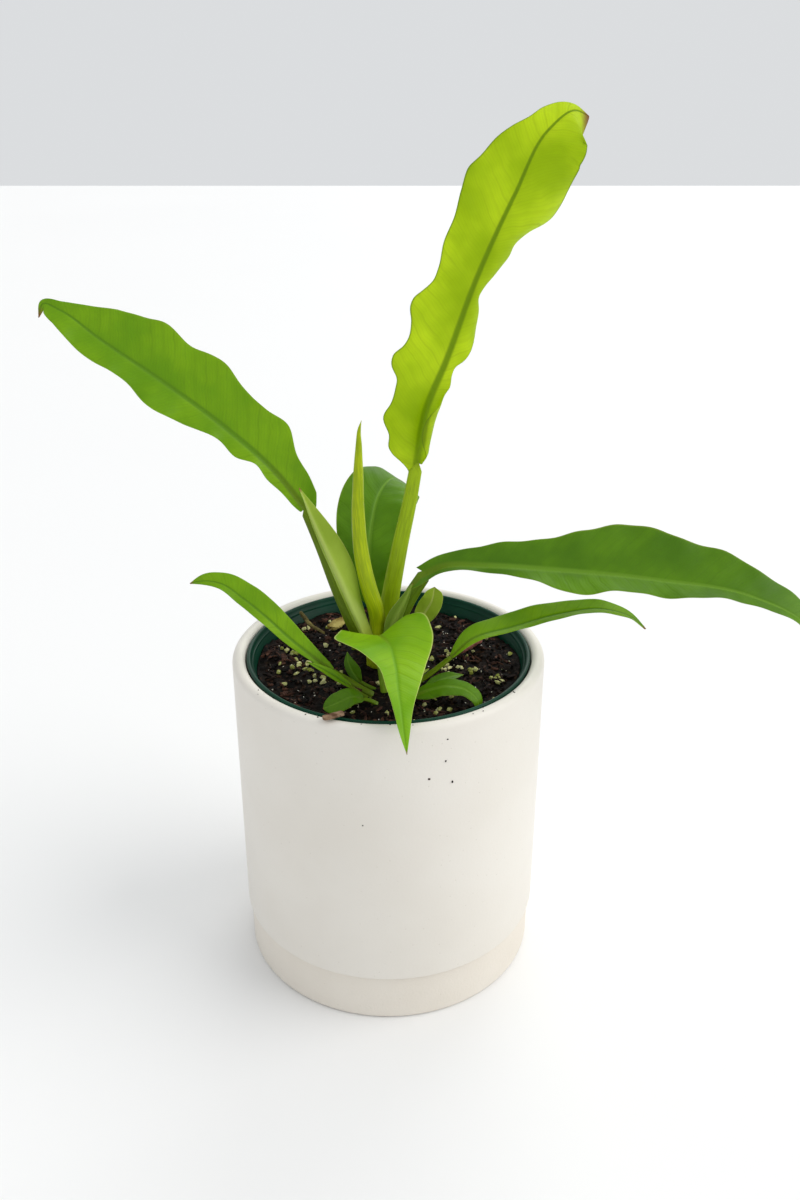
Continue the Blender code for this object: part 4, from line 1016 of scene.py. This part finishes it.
grow_leaf(
    "front_leaf", "fresh", "leaf_mid", "leaf_front_drooping",
    stalk=[(-1, -27, 131.6), (-2, -25, 138), (-3, -21.5, 147)],
    rib=[(-3, -18, 151), (0.5, -27, 152), (3, -40, 150), (4, -53, 148), (5, -63, 145),
         (6, -69, 139), (7, -73, 133)],
    facing=[(0, 0.05, -0.45, 1), (0.5, 0.1, -0.4, 1), (1, 0.1, -1, 0.6)],
    left=[(0, 13), (0.06, 17.5), (0.165, 17), (0.38, 11), (0.6, 7), (0.76, 4), (0.89, 2), (1, 0)],
    right=[(0, 13), (0.06, 18), (0.13, 19), (0.2, 17), (0.28, 13), (0.38, 8.5), (0.6, 4.5),
           (0.76, 2.8), (0.89, 1.6), (1, 0)],
    fold=[(0, 28, 12), (0.3, 12, 12), (1, 2, 12)], curl=(-12, 6), lobes=(1, 8),
    stalk_width=(3.8, 3.0), wave=(0.4, 2), base=0)

# %% [markdown]
# ## The side shoot's leaves
# The side shoot carries smaller leaves on thin stalks. Two reach far out low over the pot, one to
# each side; the others stay short and close to the soil.

# %% Side shoot leaves
grow_leaf(
    "low_leaf_left", "mid", "leaf_dark", "leaf_low_left",
    stalk=[(-6, -29, 131.6), (-10, -28.5, 133.8), (-15, -27.5, 137)],
    rib=[(-21, -26, 140), (-29, -23, 145), (-37, -19, 150), (-46, -15, 157), (-55, -11, 163),
         (-64, -8, 168), (-71, -7, 168.5), (-76, -6, 167)],
    facing=(-0.1, -0.6, 0.8),
    left=[(0, 1.4), (0.15, 2), (0.35, 2.8), (0.6, 3), (0.8, 2.4), (0.93, 1.4), (1, 0)],
    right=[(0, 1.6), (0.15, 3.5), (0.35, 5.5), (0.6, 6.5), (0.8, 5), (0.93, 2.5), (1, 0)],
    fold=(6, 6), stalk_width=(2.8, 2.2), wave=(0.25, 3))

grow_leaf(
    "low_leaf_right", "mid", "leaf_mid", "leaf_low_right",
    stalk=[(5.5, -28, 131.6), (9, -27.2, 134), (15, -25.8, 138)],
    rib=[(24, -24, 145), (31, -22, 151), (47, -19, 155), (65, -16, 159), (82, -14, 160),
         (93, -13, 156), (99, -13, 151)],
    facing=[(0, -0.3, -0.3, 1), (1, 0.2, -0.3, 1)],
    left=[(0, 1.6), (0.1, 5), (0.25, 7), (0.45, 7), (0.7, 5), (0.88, 3), (1, 0)],
    right=[(0, 1.6), (0.1, 2.5), (0.25, 3), (0.45, 3), (0.7, 2.5), (0.88, 1.5), (1, 0)],
    fold=(6, 6), stalk_width=(3.0, 2.2), wave=(0.25, 3))

grow_leaf(
    "arched_leaf", "dark", "leaf_mid", "leaf_arched_right",
    stalk=[(5, -35, 131.6), (7, -35, 133)],
    rib=[(10, -35, 134.5), (16, -35, 137), (23, -36, 139), (29, -37, 138), (33, -39, 135),
         (33.5, -41, 129)],
    facing=[(0, -0.3, -0.6, 1), (0.6, 0.1, -0.5, 1), (1, 1, -0.6, 0.5)],
    left=[(0, 1.8), (0.15, 3), (0.4, 3.5), (0.65, 3.5), (0.85, 2.5), (1, 0)],
    right=[(0, 1.8), (0.15, 3.5), (0.4, 4), (0.65, 3), (0.85, 2), (1, 0)],
    fold=(6, 6), curl=(-20, -20), stalk_width=(2.8, 2.4), wave=(0.2, 3))

grow_leaf(
    "pointed_leaflet", "dark", "leaf_dark", "leaf_small_pointed",
    stalk=[(7.5, -32, 131.6), (10, -31.5, 133.2)],
    rib=[(14, -30.5, 134.5), (19, -28, 136.5), (24, -25.5, 137.2), (29, -22, 136)],
    facing=(0, -0.4, 1),
    left=[(0, 1.2), (0.25, 2.6), (0.6, 2.4), (1, 0)],
    right=[(0, 1.2), (0.25, 2.8), (0.6, 2.2), (1, 0)],
    fold=(10, 10), stalk_width=(1.8, 1.4), wave=(0.1, 2), rows=60)

grow_leaf(
    "round_leaflet", "dark", "leaf_mid", "leaf_round_left",
    stalk=[(-4, -36, 131.6), (-6.5, -36, 132.9)],
    rib=[(-9, -36, 133.6), (-13, -37, 135), (-18, -37.5, 133), (-24, -38, 130.5)],
    facing=[(0, 0, -0.5, 1), (0.5, 0, -0.6, 1), (1, -0.4, -0.6, 1)],
    left=[(0, 1.4), (0.2, 3), (0.5, 4), (0.8, 3.4), (0.94, 1.8), (1, 0)],
    right=[(0, 1.4), (0.2, 3.5), (0.5, 4.5), (0.8, 4), (0.94, 2), (1, 0)],
    fold=(6, 6), curl=(-16, -16), stalk_width=(2.0, 1.6), wave=(0.15, 2), rows=70)

grow_leaf(
    "hidden_leaflet", "dark", "leaf_mid", "leaf_small_hidden",
    stalk=[(-4.8, -25.6, 131.6), (-8, -25, 133)],
    rib=[(-10.5, -24.5, 134.5), (-13, -23.5, 137.5), (-15, -22, 141.5), (-15.5, -20, 145)],
    facing=(-0.3, -1, 0.6),
    left=[(0, 1), (0.3, 2), (0.7, 1.6), (1, 0)],
    right=[(0, 1), (0.3, 3.2), (0.7, 2.4), (1, 0)],
    fold=(8, 8), stalk_width=(1.8, 1.4), wave=(0.1, 2), rows=60)

grow_leaf(
    "narrow_leaflet", "mid", "leaf_mid", "leaf_narrow_left",
    stalk=[(-6.8, -32.5, 131.6), (-10, -32, 133.5)],
    rib=[(-14, -31.6, 136.5), (-20, -31.3, 141), (-25, -31, 144), (-30, -31, 146.5)],
    facing=(0, -0.7, 1),
    left=[(0, 0.9), (0.35, 1.7), (0.7, 1.2), (1, 0)],
    right=[(0, 0.9), (0.35, 1.7), (0.7, 1.2), (1, 0)],
    fold=(8, 8), stalk_width=(1.6, 1.3), wave=(0.1, 2), rows=60)

grow_leaf(
    "pale_leaflet", "pale", "leaf_mid", "leaf_pale_rear_right",
    stalk=[(7, 5, 133.3), (8.5, 5.5, 137)],
    rib=[(11.5, 6.5, 143), (14.5, 7.5, 148), (17.5, 9, 153), (18.5, 12, 157.5)],
    facing=[(0, -0.2, -1, 0.5), (1, 0, -0.7, 1)],
    left=[(0, 1.6), (0.3, 4), (0.7, 4), (0.9, 2.6), (1, 0)],
    right=[(0, 1.6), (0.3, 4.4), (0.7, 4.4), (0.9, 2.8), (1, 0)],
    fold=(10, 10), stalk_width=(2.6, 2.0), wave=(0.15, 2), rows=60)

# %% [markdown]
# ## Sheaths and the rolled new leaf
# Each new leaf of this plant is first wrapped in a pale pointed sheath, which stays beside the stalk
# as a channel. The sheaths are grown with the same function as the leaves, with the two halves
# folded well back. The newest leaf is still rolled up: a tall spear with the free edge of the blade
# winding round it, so its cross-section is a spiral with one small step.

# %% Sheaths
grow_leaf(
    "tall_sheath", "pale", "leaf_sheath", "sheath_tall",
    stalk=[(-5.5, -9.5, 133.3), (-5.5, -10, 136)],
    rib=[(-6, -10, 141), (-12.5, -10, 157), (-19.5, -8, 174), (-26.5, -4, 189), (-33, -1, 204)],
    facing=[(0, 0.2, 1, 0.2), (1, 0.3, 1, 0)],
    left=[(0, 3), (0.25, 5), (0.5, 7), (0.75, 5), (1, 0)],
    right=[(0, 4), (0.25, 4.5), (0.5, 4.5), (0.75, 3), (1, 0)],
    fold=[(0, 70, 24), (0.25, 62, 24), (0.5, 34, 24), (0.75, 24, 24), (1, 24, 24)], curl=(20, 20),
    stalk_width=(6.5, 6.5), wave=(0.2, 2))

grow_leaf(
    "right_sheath", "sheath", "leaf_sheath", "sheath_right",
    stalk=[(1.5, -10, 133.3), (1, -10, 137)],
    rib=[(0.5, -9.5, 143), (2, -9.3, 152), (6, -9.2, 161), (9.5, -8.8, 168.5)],
    facing=(-0.1, 1, 0.1),
    left=[(0, 2.8), (0.3, 3.6), (0.7, 2.4), (1, 0)],
    right=[(0, 2.8), (0.3, 3.2), (0.7, 2), (1, 0)],
    fold=(16, 16), curl=(20, 20), stalk_width=(4.6, 4.4), wave=(0.15, 2), rows=70)

grow_leaf(
    "side_shoot_tip", "pale", "leaf_sheath", "shoot_tip",
    stalk=[(2.2, -31, 131.6), (5, -30.4, 134)],
    rib=[(9, -29, 137), (12, -28, 139.4), (15.5, -27, 141.5)],
    facing=(-0.5, -0.4, 1),
    left=[(0, 1.3), (0.4, 1.3), (1, 0)],
    right=[(0, 1.3), (0.4, 1.3), (1, 0)],
    fold=(20, 20), stalk_width=(2.6, 2.0), wave=(0.05, 2), rows=50)

# %% [markdown]
# ## The rolled leaf, a twig and a root
# All three are tapering rods along a curved route. A rod is rings of points with a radius that
# changes on the way. For the rolled leaf the radius also grows once round the ring and the ring turns
# on its way up, which gives the free edge that winds round a new leaf.

# %% Rods and the rolled leaf
def rod(name, route, radii, finish, node, steps=20, rows=60, seam=0.0, twist=0.0, rough=0.0):
    """A closed tapering rod; seam is the step of a rolled edge, rough the share of small bumps."""
    places = by_length(route)[:, 0]
    t = np.linspace(0.0, 1.0, rows + 1)
    centres, _, side, face = axes_along(route, (0.2, -1.0, 0.35), t)
    radius = np.interp(t, places, radii)
    verts, turn_uv, faces = [], [], []
    last = None
    for i in range(rows + 1):
        ring = []
        for k in range(steps):
            share = k / steps
            a = 2.0 * math.pi * share + twist * t[i]
            r = max(radius[i], 0.08) * (1.0 + seam * (share - 0.5))
            if rough:
                spot = Vector(centres[i]) + Vector((3 * math.cos(a), 3 * math.sin(a), 0.0))
                r *= 1.0 + rough * noise.noise(spot * 0.9)
            ring.append(len(verts))
            verts.append(tuple(centres[i] + r * (math.cos(a) * side[i] + math.sin(a) * face[i])))
            turn_uv.append((share * radius[i] * 0.6, t[i] * route_length(route) * 0.1))
        faces += [tuple(ring[::-1])] if last is None else band(last, ring)
        last = ring
    faces.append(tuple(last))
    make_piece(name, verts, faces, [finish], node, maps={"blade_cm": turn_uv}, sharp=50.0)


spear_finish = stalk_finish("rolled_leaf_green", (0.42, 0.52, 0.003), (0.26, 0.36, 0.002))
rod("rolled_leaf", [(-5, -4.4, 133.3), (-5, -4.4, 141), (-4.1, -4.2, 149), (-4.9, -5.6, 156),
                    (-7.6, -6.2, 166), (-10.1, -6, 179.7), (-11.1, -4, 196.2), (-10.9, -2, 208.9),
                    (-10.6, 0, 219.7), (-10.3, 1, 226), (-9.5, 1.5, 229)],
    [3.0, 3.0, 3.0, 3.1, 3.05, 2.85, 2.4, 1.95, 1.2, 0.6, 0.05], spear_finish,
    "rolled_new_leaf", steps=48, rows=160, seam=0.10, twist=1.6)
rod("dry_twig", [(-38, 34, 135.5), (-36, 31, 134.4), (-34, 27, 133.8), (-27, 19, 133.2)],
    [0.7, 0.9, 0.8, 0.5], fibre_finish, "twig", rough=0.5)
rod("brown_root", [(-16, -29.8, 133.4), (-13, -30, 134.5), (-9.8, -30.3, 133.6)],
    [0.4, 0.7, 0.6], bark_finish, "dried_root", rough=0.5)
print("rolled leaf, twig and root are in place")

# %% [markdown]
# ## Stems
# Both stems are short and mostly buried. What shows is a knobbly green base with scar lines where
# old leaves stood. A stack of rings gives the shape, each ring a little in or out, and a few smaller
# rings close the top.

# %% Stems
stem_green = mottled_finish("stem_bark", (0.035, 0.035, 0.008), (0.15, 0.16, 0.025), 160.0, 0.6,
                            (0.12, 0.07, 0.03), 0.6)


def stem_piece(name, at, half, top, bottom, node):
    """A stem that narrows downward, with scar rings and small bumps."""
    steps, rows = 72, 60
    verts, faces, rings = [], [], []
    for i in range(rows + 1):
        place = i / rows
        size = float(np.interp(place, (0.0, 0.25, 0.6, 0.9, 1.0), (0.35, 0.7, 0.95, 1.0, 0.96)))
        z = bottom + (top - bottom) * place
        ring = []
        for k in range(steps):
            a = 2.0 * math.pi * k / steps
            bump = noise.noise(Vector((math.cos(a) * 2.0, math.sin(a) * 2.0, z * 0.35)))
            scar = 0.012 * math.cos(2.0 * math.pi * z / 2.6 + 1.5 * math.sin(a))
            pull = size * (1.0 - 0.03 + 0.03 * bump + scar)
            ring.append(len(verts))
            verts.append((at[0] + half[0] * pull * math.cos(a),
                          at[1] + half[1] * pull * math.sin(a), z))
        rings.append(ring)
    for share in (0.9, 0.75, 0.5, 0.25):
        ring = []
        for k in range(steps):
            a = 2.0 * math.pi * k / steps
            spot = Vector((share * 9 * math.cos(a), share * 9 * math.sin(a), 3.0))
            z = top - 0.15 + 0.12 * noise.noise(spot)
            ring.append(len(verts))
            verts.append((at[0] + half[0] * share * 0.96 * math.cos(a),
                          at[1] + half[1] * share * 0.96 * math.sin(a), z))
        rings.append(ring)
    for near, far in zip(rings, rings[1:]):
        faces += band(near, far)
    faces += [tuple(rings[0][::-1]), tuple(rings[-1])]
    make_piece(name, verts, faces, [stem_green], node)


stem_piece("plant_base", MAIN_STEM_AT, (12.5, 14.0), 133.0, 106.0, "main_stem")
stem_piece("side_shoot_base", SIDE_STEM_AT, (9.5, 7.5), 131.3, 114.0, "side_shoot_stem")

print("stems are in place")

# %% [markdown]
# ## Loose bark
# The loose bark pieces are split wood: flat, with layered, broken edges. Each starts as a block of
# fine cells. Its corners are rounded off, and noise that runs along the grain gives the layers.

# %% Loose bark
def bark_piece(name, centre, size, turn, finish, node):
    """A flat piece of split wood: a fine block with layered grain along its length."""
    nx, ny, nz = 56, 26, 10
    cells = {}
    verts, faces = [], []
    spin = Matrix.Rotation(math.radians(turn), 3, "Z")

    def corner(i, j, k):
        if (i, j, k) not in cells:
            u, v, w = 2.0 * i / nx - 1, 2.0 * j / ny - 1, 2.0 * k / nz - 1
            layer = noise.noise(Vector((u * 1.3, v * 5.0, w * 1.5 + centre[0])))
            ragged = noise.noise(Vector((v * 4.0, w * 2.0, centre[0] + 4.0)))
            round_off = 1.0 - 0.30 * abs(v) ** 4 * abs(u) ** 1.5
            x = u * size[0] / 2 * (0.86 + 0.12 * ragged) * round_off
            y = v * size[1] / 2 * (0.85 + 0.14 * noise.noise(Vector((u * 3.0, w * 2.0, centre[1]))))
            z = w * size[2] / 2 * (0.80 - 0.45 * abs(v) ** 3 + 0.2 * layer) + 0.09 * size[2] * layer
            cells[(i, j, k)] = len(verts)
            verts.append(tuple(spin @ Vector((x, y, z)) + Vector(centre)))
        return cells[(i, j, k)]

    def add_face(*spots):
        faces.append([corner(*spot) for spot in spots])

    for i in range(nx):
        for j in range(ny):
            add_face((i, j, 0), (i, j + 1, 0), (i + 1, j + 1, 0), (i + 1, j, 0))
            add_face((i, j, nz), (i + 1, j, nz), (i + 1, j + 1, nz), (i, j + 1, nz))
    for k in range(nz):
        for i in range(nx):
            add_face((i, 0, k), (i + 1, 0, k), (i + 1, 0, k + 1), (i, 0, k + 1))
            add_face((i + 1, ny, k), (i, ny, k), (i, ny, k + 1), (i + 1, ny, k + 1))
        for j in range(ny):
            add_face((0, j + 1, k), (0, j, k), (0, j, k + 1), (0, j + 1, k + 1))
            add_face((nx, j, k), (nx, j + 1, k), (nx, j + 1, k + 1), (nx, j, k + 1))
    make_piece(name, verts, faces, [finish], node, sharp=45.0)


dry_finish = mottled_finish("dry_chip", (0.22, 0.15, 0.03), (0.46, 0.38, 0.12), 140.0, 0.85,
                            (0.14, 0.08, 0.03), 0.6)
red_bark = mottled_finish("red_bark", (0.11, 0.035, 0.025), (0.24, 0.085, 0.06), 150.0, 0.8,
                          (0.34, 0.20, 0.15), 0.5)
brown_bark = mottled_finish("brown_bark", (0.10, 0.05, 0.025), (0.34, 0.22, 0.14), 260.0, 0.85,
                            (0.05, 0.025, 0.015), 0.7)
bark_piece("large_bark_chip", (32, 8, 133.6), (17, 7, 2.4), 50, red_bark, "bark_chip_large")
bark_piece("yellow_bark_chip", (-22, 27, 133.6), (11, 6, 2.2), 60, dry_finish,
           "bark_chip_yellow")
bark_piece("rim_bark_chip", (-19, -55.6, 138.2), (9, 3.6, 1.4), 30, brown_bark,
           "bark_chip_on_rim")
print("loose bark is in place")

# %% [markdown]
# ## Crumbs on the pot
# Watering and repotting leave a few crumbs of soil stuck to the glaze and on the lip. They are tiny
# lumps, sunk a little into the wall so that they touch it, on the front and along the lip.

# %% Crumbs on the glaze
WALL_CRUMBS = ((21.0, 121.0, 0.5), (15.0, 114.5, 0.55), (23.5, 111.5, 0.6), (21.5, 130.0, 0.35),
               (-9.0, 95.0, 0.3))     # place across, height and half length
LIP_CRUMBS = 14
LIP_FROM, LIP_TO = math.radians(215), math.radians(330)
crumb_draw = np.random.default_rng(21)
crumb_points, crumb_faces = [], []
for x, z, half in WALL_CRUMBS:
    on_wall = (x, -math.sqrt(POT_RADIUS**2 - x**2), z)
    add_lump(crumb_points, crumb_faces, on_wall, (half, 0.3, half * 0.8), crumb_draw)
for _ in range(LIP_CRUMBS):
    turn = crumb_draw.uniform(LIP_FROM, LIP_TO)
    r = POT_RADIUS - crumb_draw.uniform(1.2, 4.0)
    half = crumb_draw.uniform(0.15, 0.35)
    on_lip = (r * math.cos(turn), r * math.sin(turn), POT_TOP - 0.05)
    add_lump(crumb_points, crumb_faces, on_lip, (half, half, half), crumb_draw)
make_piece("crumbs_on_pot", crumb_points, crumb_faces, [soil_dark])
print(len(WALL_CRUMBS) + LIP_CRUMBS, "crumbs on the pot")
